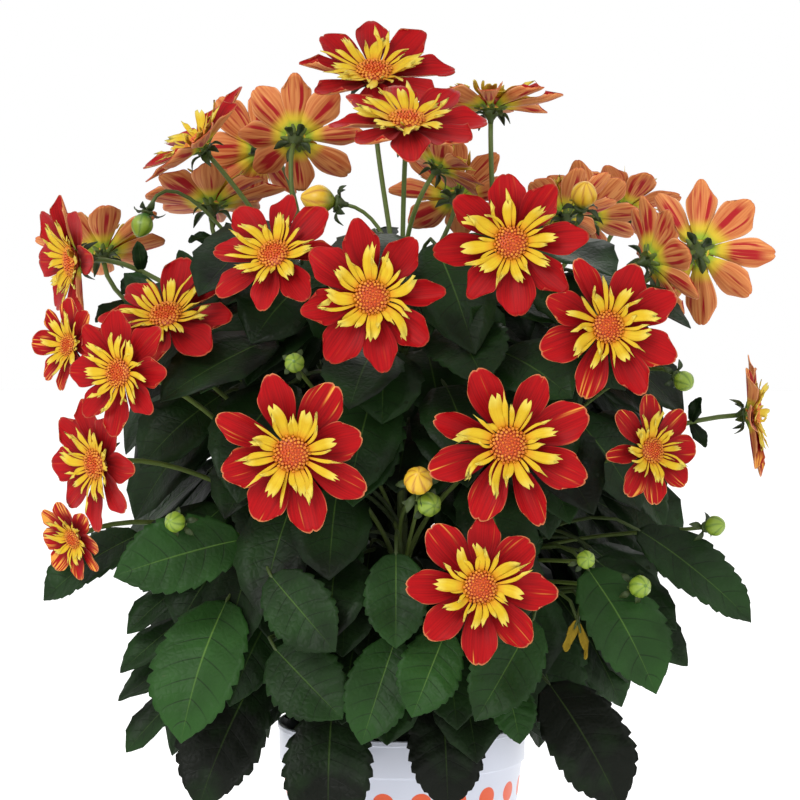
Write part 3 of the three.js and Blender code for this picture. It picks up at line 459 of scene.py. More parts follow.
def leaf_finish(name, dark, light, rib, roughness, puff):
    """A leaf face: dark to light by tint and a slow mottle, with a midrib in its own colour, dark
    side veins and puffed skin. On a green leaf the tint is painted light and shade and the mottle is
    the leaf's own; the midrib dims with the painted shade, and on the upper face the dark of the side
    veins is painted shade in their sunken grooves. A side vein is where SIDE_VEINS times
    (u - VEIN_BEND v^2) is near a whole number; v is twice the distance from the midline."""
    finish, tree = new_finish(name, Roughness=roughness, Specular_IOR_Level=0.12)
    along, _, side, tint = blade_place(tree)
    where = add_node(tree, "TexCoord").outputs["Object"]
    mottle = add_node(tree, "TexNoise", {"Vector": where, "Scale": 1 / LEAF_MOTTLE, "Detail": 3.0})
    slow = add_node(tree, "MapRange", {0: mottle, 1: 0.3, 2: 0.7, 3: -0.2, 4: 0.2})
    # Tone: the tint, painted light and shade on a green leaf, plus a slow random mottle.
    tone_and_shade = add_node(tree, "Math", {0: tint, 1: slow}, operation="ADD", use_clamp=True)
    squared = add_node(tree, "Math", {0: side, 1: side}, operation="MULTIPLY")
    level = add_node(tree, "Math", {0: squared, 1: -4 * VEIN_BEND, 2: along}, operation="MULTIPLY_ADD")
    steps = add_node(tree, "Math", {0: level, 1: float(SIDE_VEINS)}, operation="MULTIPLY")
    saw = add_node(tree, "Math", {0: steps}, operation="FRACT")
    middle = add_node(tree, "Math", {0: saw, 1: 0.5}, operation="SUBTRACT")
    from_middle = add_node(tree, "Math", {0: middle}, operation="ABSOLUTE")
    side_vein = add_node(tree, "MapRange", {0: from_middle, 1: 0.455, 2: 0.49})
    inwards = add_node(tree, "MapRange", {0: side, 1: 0.48, 2: 0.2, 4: 0.6})
    # Side veins take the dark colour: on the upper face, painted shade in their sunken grooves.
    vein_groove_shade = add_node(tree, "Math", {0: side_vein, 1: inwards}, operation="MULTIPLY")
    midrib = add_node(tree, "MapRange", {0: side, 1: 0.014, 2: 0.004})
    fading = add_node(tree, "MapRange", {0: along, 1: 0.1, 2: 0.95, 3: 0.8, 4: 0.2})
    rib_share = add_node(tree, "Math", {0: midrib, 1: fading}, operation="MULTIPLY")
    # The midrib dims on darker leaves, with their painted shade.
    rib_light = add_node(tree, "MapRange", {0: tone_and_shade, 3: 0.2, 4: 1.0})
    ribbed = add_node(tree, "Math", {0: rib_share, 1: rib_light}, operation="MULTIPLY")
    cells = {"Vector": where, "Scale": 1 / LEAF_NET}
    net = add_node(tree, "TexVoronoi", cells, feature="DISTANCE_TO_EDGE")
    cushions = add_node(tree, "MapRange", {0: net, 1: 0.0, 2: 0.35})
    ribs = add_node(tree, "Math", {0: midrib, 1: vein_groove_shade}, operation="MAXIMUM")
    relief = add_node(tree, "Math", {0: cushions, 1: ribs}, operation="SUBTRACT")
    coat(finish, dark, [(tone_and_shade, light), (vein_groove_shade, dark), (ribbed, rib)], relief, puff, LEAF_RELIEF)
    return finish


# For each green face, the first colour is the painted shade of shaded and inner leaves, the second the lit
# green.
leaf_above = leaf_finish("Dahlia leaf upper side", "#0D110A", "#294D1F", "#64863A", 0.45, 0.4)
leaf_below = leaf_finish("Dahlia leaf underside", "#12180E", "#3C5430", "#6F8C50", 0.65, -0.3)
withered_leaf = leaf_finish("Withered dahlia leaf", "#6A5C16", "#A88A28", "#7A5A22", 0.7, 0.3)
print("made", leaf_above.name, "and", leaf_below.name, "and", withered_leaf.name)

# %% Stalks, bracts and buds
STALK_FIBRES = 2.5 * MM


def stalk_finish():
    """Smooth green skin, from the dark of a bract to the light of a young stalk by tint. A petiole's
    tint follows its leaf's tone, which is painted light and shade.
    """
    finish, tree = new_finish("Green stalk skin", Roughness=0.5, Specular_IOR_Level=0.35)
    where = add_node(tree, "TexCoord").outputs["Object"]
    tint = add_node(tree, "Attribute", attribute_name="tint").outputs["Fac"]
    fibres = add_node(tree, "TexNoise", {"Vector": where, "Scale": 1 / STALK_FIBRES, "Detail": 2.0})
    slow = add_node(tree, "MapRange", {0: fibres, 3: -0.15, 4: 0.15})
    tone_and_shade = add_node(tree, "Math", {0: tint, 1: slow}, operation="ADD", use_clamp=True)
    coat(finish, "#1B2A12", [(tone_and_shade, "#5E7030")], fibres, 0.3, 0.15 * MM)
    return finish


def bud_finish(name, skin, fold, foot):
    """Folded petals of a bud: streak is 1 in a fold, which is painted darker as the shade where one
    petal lies over the next, and the bud is greener towards its foot.
    """
    finish, tree = new_finish(name, Roughness=0.4)
    uv = add_node(tree, "TexCoord").outputs["UV"]
    height = add_node(tree, "SeparateXYZ", {0: uv}).outputs[0]
    # The folds are painted darker: painted shade where one petal lies over the next.
    folded = add_node(tree, "Attribute", attribute_name="streak").outputs["Fac"]
    footed = add_node(tree, "MapRange", {0: height, 1: 0.5, 2: 0.1}, interpolation_type="SMOOTHSTEP")
    coat(finish, skin, [(folded, fold), (footed, foot)])
    return finish


green_skin = stalk_finish()
# The second colour of each bud is the painted shade in its folds.
ripe_bud = bud_finish("Yellow bud petals", "#D6AC24", "#A8681A", "#7E8A26")
young_bud = bud_finish("Green bud skin", "#7F982C", "#52701E", "#3C6028")
print("made", green_skin.name, ripe_bud.name, "and", young_bud.name)

# %% [markdown]
# ## Where the flowers are
# Thirty flowers crown the bush. Those at the front look at the viewer, those at the top look up, and
# those at the back turn away and show their apricot backs. These are the places that the CAD
# model was built from: the middle of each face, the way it looks, its size, how far its rays
# cup forward, its stem, how much yellow marks its rays, and how far it is spun on its stalk.

# %% The flowers and buds
FLOWERS = [
    ((-19, -200, 470), 0, 5, 96, 8, "front", 0.1, 8),
    ((-80, -168, 494), -20, 35, 88, 8, "front", 0.3, 0),
    ((69, -176, 503), -6, 8, 94, 12, "front", 0.1, 8),
    ((128, -190, 451), 12, 5, 90, 14, "front_right", 0.8, 22),
    ((-68, -214, 374), -5, 0, 98, 8, "front", 1.0, 16),
    ((66, -214, 379), 0, 5, 100, 10, "front", 0.9, 22),
    ((48, -222, 291), 5, 8, 92, 8, "front", 0.9, -5),
    ((158, -152, 370), 32, 8, 72, 8, "front_right", 1.2, 0),
    ((-179, -152, 420), -32, 4, 80, 10, "front_left", 0.3, 0),
    ((-153, -110, 452), -15, 48, 96, 6, "front_left", 0.3, 0),
    ((-197, -118, 359), -48, -4, 86, 10, "front_left", 0.4, 0),
    ((-220, -66, 433), -48, 8, 64, 12, "front_left", 1.3, 0),
    ((-216, -88, 307), -42, -18, 58, 14, "front_left", 1.7, 0),
    ((-19, 0, 613), 2, 54, 106, 10, "front", 0.1, 0),
    ((3, -104, 578), 6, 62, 102, 4, "front", 0.2, 0),
    ((61, 12, 593), 175, 80, 98, 4, "back_right", 0.2, 0),
    ((-138, 6, 566), -72, 48, 92, 12, "back_left", 0.3, 0),
    ((-222, -10, 488), -62, -4, 90, 14, "front_left", 0.3, 0),
    ((237, -14, 383), 78, 4, 84, 6, "front_right", 1.6, 0),
    ((25, 12, 552), 120, 52, 72, 10, "back", 0.3, 0),
    ((-74, 44, 572), 172, 24, 92, 14, "back_left", 0.3, 0),
    ((-101, 116, 564), -150, 10, 92, 12, "back_left", 0.4, 0),
    ((-134, 62, 526), 180, 66, 99, 10, "back_left", 0.3, 0),
    ((-210, 56, 492), -170, 52, 88, 14, "back_left", 0.4, 0),
    ((38, 66, 531), 176, 34, 88, 12, "back", 0.3, 0),
    ((113, 34, 519), -165, 48, 80, 14, "back_right", 0.4, 0),
    ((132, 90, 517), 165, 40, 82, 14, "back_right", 0.3, 0),
    ((162, 150, 522), 150, 50, 82, 14, "back_right", 0.4, 0),
    ((170, -6, 489), 112, 18, 92, 16, "back_right", 0.3, 0),
    ((210, 72, 493), 160, 2, 100, 10, "back_right", 0.3, 0),
]

# A bud's middle, the way it points, its size across, its stem, and whether its petals show yet.
BUDS = [
    ((-56, -60, 530), -80, 10, 22, "front", True),
    ((124, -8, 533), 10, 50, 20, "back_right", True),
    ((-178, 0, 512), -40, -60, 17, "back_left", False),
    ((10, -206, 356), 0, 30, 20, "front", True),
    ((17, -196, 340), 20, 0, 17, "front", False),
    ((-68, -178, 428), 0, 10, 14, "front", False),
    ((-146, -150, 324), -20, 10, 15, "front_left", False),
    ((174, -20, 460), 30, -40, 15, "front_right", False),
    ((184, -110, 412), 30, -20, 15, "front_right", False),
    ((116, -186, 304), 10, 10, 13, "front_right", False),
    ((152, -164, 284), 20, 10, 16, "front_right", False),
    ((206, -100, 316), 40, 10, 15, "front_right", False),
    ((30, 190, 430), 175, 30, 18, "back", False),
]
print(len(FLOWERS), "flowers and", len(BUDS), "buds")

# %% [markdown]
# ## Ray petals
# A ray is a spoon-shaped sheet, widest two thirds of the way out, with a round end that has a small
# nick. Two shallow grooves run down it, its margins stand up where it leaves the disc, and one
# margin lies over the next petal. The rows of its grid are arcs, so the round end is simply the
# last row, and no point of the grid has to be squeezed together.

# %% Petals round a flower
BLOOM_SIZE = 96


def add_petals(shape, centre, axes, angle, r, across, z, thick, u, v, marks):
    """Blades round an axis: along each angle at a distance r from it, across from that line, and
    thick above and below z."""
    ahead = np.cos(angle) * r - np.sin(angle) * across
    beside = np.sin(angle) * r + np.cos(angle) * across
    faces = [np.stack(np.broadcast_arrays(ahead, beside, z + t), axis=-1) for t in (thick, -thick)]
    top, bottom = (centre + face @ axes for face in faces)
    add_blades(shape, top, bottom, u, v, marks)


def petal_marks(key, streak):
    """A tint for each petal by its key, and the same streak for all."""
    tint = wobble(key[:, 0, 0] + 9) / 2 + 0.5
    return np.stack([tint, np.full(len(tint), streak)], axis=-1)


def petal_swell(u, belly, grown, faded):
    """How a petal's width grows from 0 at its foot to 1 at its belly, as a sine to a power, and how
    it fades from there to its end, from 0 to 1 by a power."""
    grow = np.sin(np.pi / 2 * np.minimum(u / belly, 1)) ** grown
    fade = np.clip((u - belly) / (1 - belly), 0, 1) ** faded
    return grow, fade


def flower_frame(flower):
    """A flower's middle in metres, and its axes: spun anticlockwise, and scaled from the 96 mm plan."""
    place, turn, lift, size, _, _, _, spin = flower
    side, rise, look = facing(direction(turn, lift))
    c, s = np.cos(np.radians(spin)), np.sin(np.radians(spin))
    axes = np.stack([c * side + s * rise, c * rise - s * side, look])
    return np.array(place) * MM, axes * size / BLOOM_SIZE * MM


print("the first flower's middle in metres:", flower_frame(FLOWERS[0])[0].tolist())

# %% Ray petals
RAYS = 8
HUB = 8
HUB_PROFILE = [[5, -2], [7.4, -1.6], [7.6, -0.6], [7, 0.2], [4, 0.6]]
RAY_ROOT = 4.5
RAY_REACH = 48
RAY_HALF = 12
RAY_BELLY = 0.7
RAY_U = np.linspace(0, 1, 14) ** 0.92
RAY_V = np.array([-1, -0.95, -0.8, -0.6, -0.4, -0.2, -0.07, 0, 0.07, 0.2, 0.4, 0.6, 0.8, 0.95, 1])
RAY_MARGINS = ([RAY_ROOT, 14, 24, 36, 48], [0.4, 2.0, 2.9, 3.3, 1.2])
RAY_ROLL = ([RAY_ROOT, 14, 36, 48], [0, 0.5, 1.6, 0.3])
GROOVE_PLACE = 0.36
GROOVE_WIDTH = 0.12
GROOVE_DEPTH = 0.75


def rays(shape, flower, index):
    """Eight rays. The half width grows as a sine to the belly and falls to the end, which is round:
    r is shortened by v to a power. Both are stronger in pointed rays, which flowers with little
    yellow have. The height is the cup's slope, plus margins lifted as v squared, a roll as v, and
    two grooves. A few rays are folded: narrower, longer, and with their margins lifted higher."""
    cup, streak = flower[4], flower[6]
    key = (index * 31 + np.arange(RAYS) * 7)[:, None, None]
    u, v = RAY_U[None, :, None], RAY_V[None, None, :]
    folded = ease(wobble(key + 10), 0.55, 0.9)
    reach = RAY_REACH * (1 + 0.08 * wobble(key) + 0.05 * folded)
    half = RAY_HALF * (1 + 0.1 * wobble(key + 1)) * (1 - 0.35 * folded)
    nick = 0.012 + 0.025 * abs(wobble(key + 4))
    pointed = np.clip(0.7 - 0.7 * streak + 0.5 * wobble(key + 8), 0, 1)
    end = 1 - ((0.21 + 0.09 * pointed) * abs(v) ** (2.4 - 0.3 * pointed)) * u**3
    end = end - (1 - 0.8 * pointed) * nick * np.exp(-((v / 0.08) ** 2)) * u**3
    r = RAY_ROOT + (reach - RAY_ROOT) * u * end
    grow, fade = petal_swell(u, RAY_BELLY, 1.35, 2.2)
    across = v * half * (0.2 + 0.8 * grow) * (1 - (0.14 + 0.16 * pointed) * fade)
    margins = np.interp(r, *RAY_MARGINS) * (1 + 1.2 * folded) * v**2
    roll = np.interp(r, *RAY_ROLL) * (1 + 0.8 * wobble(key + 7)) * v
    from_groove = (abs(v) - GROOVE_PLACE) / GROOVE_WIDTH
    groove = -GROOVE_DEPTH * np.exp(-(from_groove**2)) * np.sin(np.pi * u) ** 0.7
    ripple = 0.7 * v**2 * np.sin(8 * u + 3 * wobble(key + 5)) * u
    z = np.tan(np.radians(cup)) * (r - HUB) + 3 * wobble(key + 3) * u**2
    z = z + margins + roll + groove + ripple
    z = z + 3 * wobble(key + 6) * ease(u, 0.65, 1.15) - 1.8 * (1 - ease(r, RAY_ROOT, 10))
    angle = 2 * np.pi * np.arange(RAYS)[:, None, None] / RAYS
    angle = angle + np.radians(4 * wobble(key + 2)) * np.minimum(1, u / 0.5)
    thick = 0.34 - 0.14 * v**4
    centre, axes = flower_frame(flower)
    marks = petal_marks(key, streak)
    add_petals(shape, centre, axes, angle, r, across, z, thick, RAY_U, RAY_V, marks)
    add_turned(shape, HUB_PROFILE, 16, centre, axes, 1, [0.5, 0])


sample = Shape()
rays(sample, FLOWERS[0], 0)
print("rays of one flower:", sample.count, "points")

# %% [markdown]
# ## The collar and the disc
# Inside the rays stands a ring of small petals: one broad petal with a forked or toothed end in
# front of each ray, and two narrow ones between, each a little twisted. The disc is a dome
# packed with some ninety florets in a sunflower's spiral, each a turn of 137.5 degrees from the
# last. The inner ones are still closed, and the outer ones have opened into little trumpets.

# %% Collar petals
COLLAR_U = np.linspace(0, 1, 8)
COLLAR_V = np.array([-1, -0.5, 0, 0.5, 1])
COLLAR_ROOT = 9.5
COLLAR_BELLY = 0.62


def collar(shape, flower, index):
    """24 petals in three sets of eight. Their ends are cut by a notch in the middle, by a squared
    sine with three lobes, or to a point; their twist grows from the foot to the end, and they bend
    to one side with the square of u."""
    cup, streak = flower[4], flower[6]
    centre, axes = flower_frame(flower)
    k = np.arange(3 * RAYS)[:, None, None]
    kind = k // RAYS
    broad = kind == 0
    key = 500 + index * 37 + k * 5
    u, v = COLLAR_U[None, :, None], COLLAR_V[None, None, :]
    reach = np.where(broad, 30 * (1 + 0.17 * wobble(key)), 27.5 * (1 + 0.3 * wobble(key)))
    half = np.where(broad, 3.3 * (1 + 0.36 * wobble(key + 1)), 1.5 * (1 + 0.4 * wobble(key + 1)))
    cut = wobble(key + 6)
    forked = 0.2 * np.exp(-((v / 0.3) ** 2)) + 0.12 * v**2
    lobed = 0.15 * np.sin(np.pi * v) ** 2 + 0.08 * abs(v)
    pointed = 0.3 * abs(v)
    end = 1 - np.where(broad, np.where(cut > 0.1, forked, lobed), np.where(cut > 0.4, forked, pointed))
    r = COLLAR_ROOT + (reach - COLLAR_ROOT) * u * (1 - (1 - end) * u**2)
    grow, fade = petal_swell(u, COLLAR_BELLY, 1.1, 1.8)
    across = v * half * (0.42 + 0.58 * grow) * (1 - np.where(broad, 0.3, 0.62) * fade)
    rise = 4.4 + np.tan(np.radians(cup)) * (r - HUB) + 0.14 * (r - 11)
    stand = np.where(broad, 1.2 + 1.8 * wobble(key + 4), 2.8 + 3.4 * wobble(key + 4))
    z = rise + stand * u**1.5 + 0.9 * np.sin(np.pi * u) + 0.16 * half * v**2
    z = z + across * np.tan(np.radians(46 * wobble(key + 7))) * u + 0.7 * np.sin(7 * u + 3 * cut) * u
    base = np.where(broad, k, np.where(kind == 1, k - RAYS + 0.36, k - 2 * RAYS + 0.66))
    angle = 2 * np.pi * base / RAYS + np.radians(5 * wobble(key + 2) * u + 16 * wobble(key + 8) * u**2)
    thick = 0.22 - 0.08 * v**4
    marks = petal_marks(key, streak)
    add_petals(shape, centre, axes, angle, r, across, z, thick, COLLAR_U, COLLAR_V, marks)


collar(sample, FLOWERS[0], 0)
print("with its collar:", sample.count, "points")

# %% Disc florets
FLORETS = 92
FLORET_SIDES = 6
GOLDEN_TURN = np.radians(137.508)
DISC_SHOULDER_RADIUS = 9.8
DOME_PROFILE = [[6.5, 0.3], [10, 2.6], [10.3, 4.0], [9, 5], [6.4, 5.9], [3, 6.3], [0.6, 6.4]]
OPEN_FLORET = np.array([[0.5, -0.6], [0.5, 1.2], [0.95, 2.5], [0.4, 2.0]])
SHUT_FLORET = np.array([[0.6, -0.6], [0.68, 0.9], [0.55, 1.7], [0.14, 2.1]])
FLORET_HEIGHTS = np.array([[0.0, 0], [0.5, 0], [1.0, 0], [0.6, 0]])


def disc(shape, flower, index):
    """A low dome under florets. Floret n sits n golden turns round and sqrt(n) out, stands along the
    dome's slope, and is a six-sided tube: trumpet-shaped outside, closed towards the middle."""
    centre, axes = flower_frame(flower)
    add_turned(shape, DOME_PROFILE, 20, centre, axes, 2, [0.1, 0])
    n = np.arange(FLORETS)
    share = np.sqrt((n + 0.5) / FLORETS)
    turned = n * GOLDEN_TURN + index
    out = polar(1, turned, 0)
    root = out * (share * DISC_SHOULDER_RADIUS)[:, None]
    root[:, 2] = 4.0 + 2.3 * np.sqrt(np.maximum(0, 1 - share**2))
    lean = np.radians(48) * share**1.5 + 0.06 * wobble(n + 3 * index)
    up = out * np.sin(lean)[:, None] + UP * np.cos(lean)[:, None]
    first = np.cross(UP, out)
    second = np.cross(up, first)
    opened = ease(share, 0.5, 0.75)[:, None, None]
    profile = OPEN_FLORET * opened + SHUT_FLORET * (1 - opened)
    profile = profile * (1 + 0.12 * wobble(n * 3 + index))[:, None, None]
    a = np.linspace(0, 2 * np.pi, FLORET_SIDES, endpoint=False)[:, None]
    circle = first[:, None] * np.cos(a) + second[:, None] * np.sin(a)
    ringed = root[:, None, None] + profile[:, :, :1, None] * circle[:, None]
    points = ringed + profile[:, :, 1:, None] * up[:, None, None]
    rings = len(OPEN_FLORET)
    start = rings * FLORET_SIDES * n[:, None]
    walls = (ring_faces(rings, FLORET_SIDES) + start[..., None]).reshape(-1, 4)
    lids = FLORET_SIDES * (rings - 1) + np.arange(FLORET_SIDES) + start
    uv = np.tile(np.repeat(FLORET_HEIGHTS, FLORET_SIDES, axis=0), (FLORETS, 1))
    tint = np.clip(0.35 + 0.5 * opened[:, 0, 0] + 0.35 * wobble(n + 50), 0, 1)
    marks = np.repeat(np.stack([tint, tint * 0], axis=-1), rings * FLORET_SIDES, axis=0)
    shape.add(centre + points.reshape(-1, 3) @ axes, uv, marks, (walls, 2), (lids, 2))


disc(sample, FLOWERS[0], 0)
print("with its disc:", sample.count, "points")

# %% All thirty flowers
flower_triangles = 0
for index, flower in enumerate(FLOWERS):
    label = f"bloom_{index + 1:02d}"
    outer, heart = Shape(), Shape()
    rays(outer, flower, index)
    collar(heart, flower, index)
    disc(heart, flower, index)
    petals = outer.build(f"{label}_ray_petals", [scarlet_petal, apricot_petal])
    middle = heart.build(f"{label}_collar_and_disc", [lemon_collar, lemon_collar, orange_floret])
    if f"{label}_rays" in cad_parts:
        dress(petals, f"{label}_rays")
        dress(middle, f"{label}_heart")
    else:
        dress(petals, label)
        dress(middle, label)
    flower_triangles += outer.triangles() + heart.triangles()
print("flowers:", flower_triangles, "triangles")

# %% [markdown]
# ## Stems, stalks and bracts
# Six main stems rise from the soil, one for each sixth of the bush, and lean a little outwards. The
# CAD model lets each stalk leave its stem along a curve with four control points and meet its
# flower from behind. The same curves are drawn here as round rods. Behind each flower sits a green
# cup, with thin scales pressed to the petals' backs and five spoon-shaped bracts that bend away.

# %% Stems and the lines of the stalks
POT_TOP = 170
SOIL_TOP = 148
STEM_TOP = 430
STEM_PLACE = 34
STEM_LEAN = 0.11
NODE_GAP = 7
LOWEST_STALK_NODE = 234
LOWEST_LEAF_NODE = 160
STALK_FALL = 0.55
STALK_RISE = 0.32
STALK_LEAVING = 0.12
STALK_ARRIVING = 0.34
LONGEST_ARRIVING = 60
FACE_TO_CUP = 2
CUP_DEPTH = 7
CUP_GAP = 0.3
BUD_SIZE = 22.5


def stem_point(stem, z):
    """Where a sector's main stem passes a height, in mm: it leans 0.11 mm out for each mm up."""
    z = np.asarray(z, float)[..., None]
    return direction(SECTORS[stem]) * (STEM_PLACE + STEM_LEAN * (z - POT_TOP)) + UP * z


def branch_heights(wanted, lowest, highest):
    """Heights on a stem, as wanted but at least 7 mm apart from the lowest up."""
    heights, free = np.zeros(len(wanted)), lowest
    for i in np.argsort(wanted, kind="stable"):
        heights[i] = min(max(wanted[i], free), highest)
        free = heights[i] + NODE_GAP
    return heights


def bezier(controls, steps):
    """Points along a cubic Bezier line: its four controls, weighed by the Bernstein terms."""
    t = np.linspace(0, 1, steps)[:, None]
    a, b, c, d = controls
    return a * (1 - t) ** 3 + 3 * b * t * (1 - t) ** 2 + 3 * c * t**2 * (1 - t) + d * t**3


def stalk_controls(stem, height, end, look):
    """A stalk's four controls: its node, a point above and outside it, one behind the cup, the cup."""
    start = stem_point(stem, height)
    span = np.linalg.norm(end - start)
    rising = start + UP * STALK_RISE * span + direction(SECTORS[stem]) * STALK_LEAVING * span
    return start, rising, end - look * min(LONGEST_ARRIVING, STALK_ARRIVING * span), end


def stalks_of(stem):
    """What a sector's stalks bear, flowers first: (thing, is it a flower, look, scale, controls).
    A stalk's node is 40 mm below what it bears, and lower by 0.55 mm for each mm that it is out."""
    borne = [(f, True) for f in FLOWERS if f[5] == stem] + [(b, False) for b in BUDS if b[4] == stem]
    places = np.array([one[0] for one, _ in borne], float)
    wanted = places[:, 2] - STALK_FALL * np.hypot(places[:, 0], places[:, 1]) - 40
    heights = branch_heights(wanted, LOWEST_STALK_NODE, STEM_TOP - 6)
    found = []
    for (one, is_flower), place, height in zip(borne, places, heights):
        look = direction(one[1], one[2])
        scale = one[3] / (BLOOM_SIZE if is_flower else BUD_SIZE)
        behind = (FACE_TO_CUP * scale if is_flower else one[3] / 2) + CUP_DEPTH * scale + CUP_GAP
        end = place - look * behind
        found.append((one, is_flower, look, scale, stalk_controls(stem, height, end, look)))
    return found


print("stalks on the front stem:", len(stalks_of("front")))

# %% Cups and bracts
BRACT_U = np.linspace(0, 1, 7)
BRACT_V = np.array([-1, 0, 1])
CUP_PROFILE = [[1.7, -2.5], [2.1, 0], [3.6, 2], [5.3, 4], [5.9, 5.6], [5.2, 7]]
BRACTS = 5
SCALES = 8


def bracts(shape, end, axes, count, r, half, z, key, tint):
    """Leafy scales round a cup: blades that run out along r and up along z, as wide as half says."""
    k = np.arange(count)[:, None, None]
    v = BRACT_V[None, None, :]
    angle = 2 * np.pi * (k + 0.3 * wobble(key + k)) / count + key
    hollow = z + 0.5 * v**2 * half
    marks = np.stack([np.clip(tint + 0.12 * wobble(key + k[:, 0, 0]), 0, 1), np.zeros(count)], axis=-1)
    add_petals(shape, end, axes, angle, r, half * v, hollow, 0.25, BRACT_U, BRACT_V, marks)


def cup(shape, end, look, scale, slope, key, is_flower):
    """The green cup on a stalk's end. Its scales lie against the petals: z follows the rays' slope.
    Its outer bracts widen like spoons, half way out, and bend back with the square of u."""
    axes = facing(look) * scale * MM
    centre = end * MM
    add_turned(shape, CUP_PROFILE, 12, centre, axes, 0, [0.3, 0])
    u = BRACT_U[None, :, None]
    k = np.arange(BRACTS)[:, None, None]
    long, broad, bend = (12.5, 2.2, 6) if is_flower else (13, 2.4, 4)
    r = 4.4 + long * (1 + 0.15 * wobble(key + 2 * k)) * u * (1 - 0.12 * u)
    spoon = 1.1 + broad * np.sin(np.pi * u**1.4) ** 1.1 - 0.75 * u
    z = 3.4 + 1.6 * np.sin(np.pi * u) - (bend + 3 * wobble(key + 3 * k)) * u**2
    bracts(shape, centre, axes, BRACTS, r, spoon, z, key, 0.15)
    if is_flower:
        r = 4.6 + 6.8 * u
        scale_half = 2.3 * np.cos(0.42 * np.pi * u) ** 0.8
        z = 6.2 + 2.2 * u**0.7 + slope * (r - HUB)
        bracts(shape, centre, axes, SCALES, r, scale_half, z, key + 1, 0.95)


print("a flower's cup has", BRACTS, "bracts and", SCALES, "scales")

# %% Buds
BUD_ROWS = 15
BUD_SIDES = 48
RIPE_FOLDS = 7
GREEN_FOLDS = 6


def bud(shape, place, look, size, finish, folds, key):
    """A ball drawn out a little along its axis. Petals lie round it like a twisted shutter: where
    one lies over the next, the radius steps, and streak marks the fold, which is painted darker as
    shade."""
    b = np.linspace(0.02, 0.985, BUD_ROWS)[:, None]
    a = np.linspace(0, 1, BUD_SIDES, endpoint=False)[None, :]
    turned = (folds * a + 0.45 * b**2 + 0.1 * wobble(key)) % 1
    fold = np.exp(-((np.minimum(turned, 1 - turned) / 0.11) ** 2)) * ease(b, 0.05, 0.4)
    r = 0.45 * size * np.sin(np.pi * (0.04 + 0.94 * b)) ** 0.76
    r = r * (1 + 0.06 * (turned - 0.5) * ease(b, 0.1, 0.5) - 0.05 * fold)
    local = polar(r, 2 * np.pi * a, size * (b - 0.5) * 1.08)
    marks = np.stack(np.broadcast_arrays(wobble(key) / 2 + 0.5, fold), axis=-1).reshape(-1, 2)
    add_rings(shape, np.array(place) * MM + local @ (facing(look) * MM), finish, marks)


ripe_buds = [one for one in BUDS if one[5]]
for number, (place, turn, lift, size, _, _) in enumerate(ripe_buds, 1):
    folded = Shape()
    bud(folded, place, direction(turn, lift), size, 0, RIPE_FOLDS, number)
    dress(folded.build(f"bud_{number}_folded_petals", [ripe_bud]), f"bud_{number}")
print(len(ripe_buds), "ripe buds")

# %% The stems and stalks of each sector
STEM_RADIUS = 4
STEM_FOOT = SOIL_TOP - 45
SWELLING = 0.9
SWELLING_REACH = 3.5
LOWEST_SWELLING = 165
SWELLING_STEP = 38
STALK_RADIUS = 1.7
STALK_STEPS = 16


def main_stem(shape, stem, nodes):
    """A rod from in the soil to the top: it swells at each node by a bell curve of the height."""
    z = np.linspace(STEM_FOOT, STEM_TOP, 60)
    line = stem_point(stem, np.maximum(z, SOIL_TOP + 6))
    line[:, 2] = z
    swell = np.exp(-(((z[:, None] - nodes) / SWELLING_REACH) ** 2)).max(axis=1)
    taper = STEM_RADIUS * (1 - 0.35 * ease(z, 200, STEM_TOP))
    add_rod(shape, line * MM, (taper + SWELLING * swell) * MM, 12, 0, [0.45, 0])


def stalk(shape, borne, key):
    """A stalk with its cup; a bud that is still green belongs to it too."""
    one, is_flower, look, scale, controls = borne
    line = bezier(controls, STALK_STEPS)
    thin = STALK_RADIUS if is_flower else 0.8 * STALK_RADIUS
    radius = thin * (1 + 0.25 * (1 - ease(np.linspace(0, 1, STALK_STEPS), 0, 0.3)))
    add_rod(shape, line * MM, radius * MM, 8, 0, [0.75 + 0.15 * wobble(key), 0])
    slope = np.tan(np.radians(one[4])) if is_flower else 0
    cup(shape, controls[3], look, scale, slope, key, is_flower)
    if not is_flower and not one[5]:
        bud(shape, one[0], look, one[3], 2, GREEN_FOLDS, key)


stalk_triangles = 0
for stem in SECTORS:
    green = Shape()
    for number, borne in enumerate(stalks_of(stem)):
        stalk(green, borne, SECTORS[stem] + 13 * number)
    swellings = np.arange(LOWEST_SWELLING, STEM_TOP, SWELLING_STEP) + 6 * wobble(SECTORS[stem])
    main_stem(green, stem, swellings)
    piece = green.build(f"leafy_stem_{stem}_stalks", [green_skin, green_skin, young_bud])
    dress(piece, f"leafy_stem_{stem}")
    stalk_triangles += green.triangles()
print("stems and stalks:", stalk_triangles, "triangles")

# %% [markdown]
# ## Leaves
# Each leaf is one blade. Its half width is a skewed sine, drawn out to a blunt point. Every tooth
# takes a few rows of the grid: the width grows along it and drops back at its end, so that the teeth
# point to the tip. Rows lean forward from the midrib as side veins do, the skin is cushioned
# between them, the halves fold up along the midrib, and the margins are slightly waved. Leaves
# inside the bush, of which there are hundreds, have a coarser grid with fewer teeth.

# %% One batch of leaves
LEAF_FOLD = 0.16
LEAF_BELLY = 0.72
LEAF_SLANT = 0.13
LEAF_THICK = 0.3
CUSHION = 1.1
WAVE = 1.9


def leaf_grid(teeth, tooth, cut, columns):
    """Rows along a blade, how deep the margin is cut in each, and its columns. Each tooth has the
    rows of tooth, as shares of its own length."""
    inner = 0.06 + 0.91 * ((np.arange(teeth)[:, None] + np.array(tooth)) / teeth).ravel()
    rows = np.concatenate([[0, 0.03], inner, [0.985, 1]])
    cuts = np.concatenate([[0, 0], np.tile(cut, teeth), [0, 0]])
    return rows, cuts, np.array(columns, float)


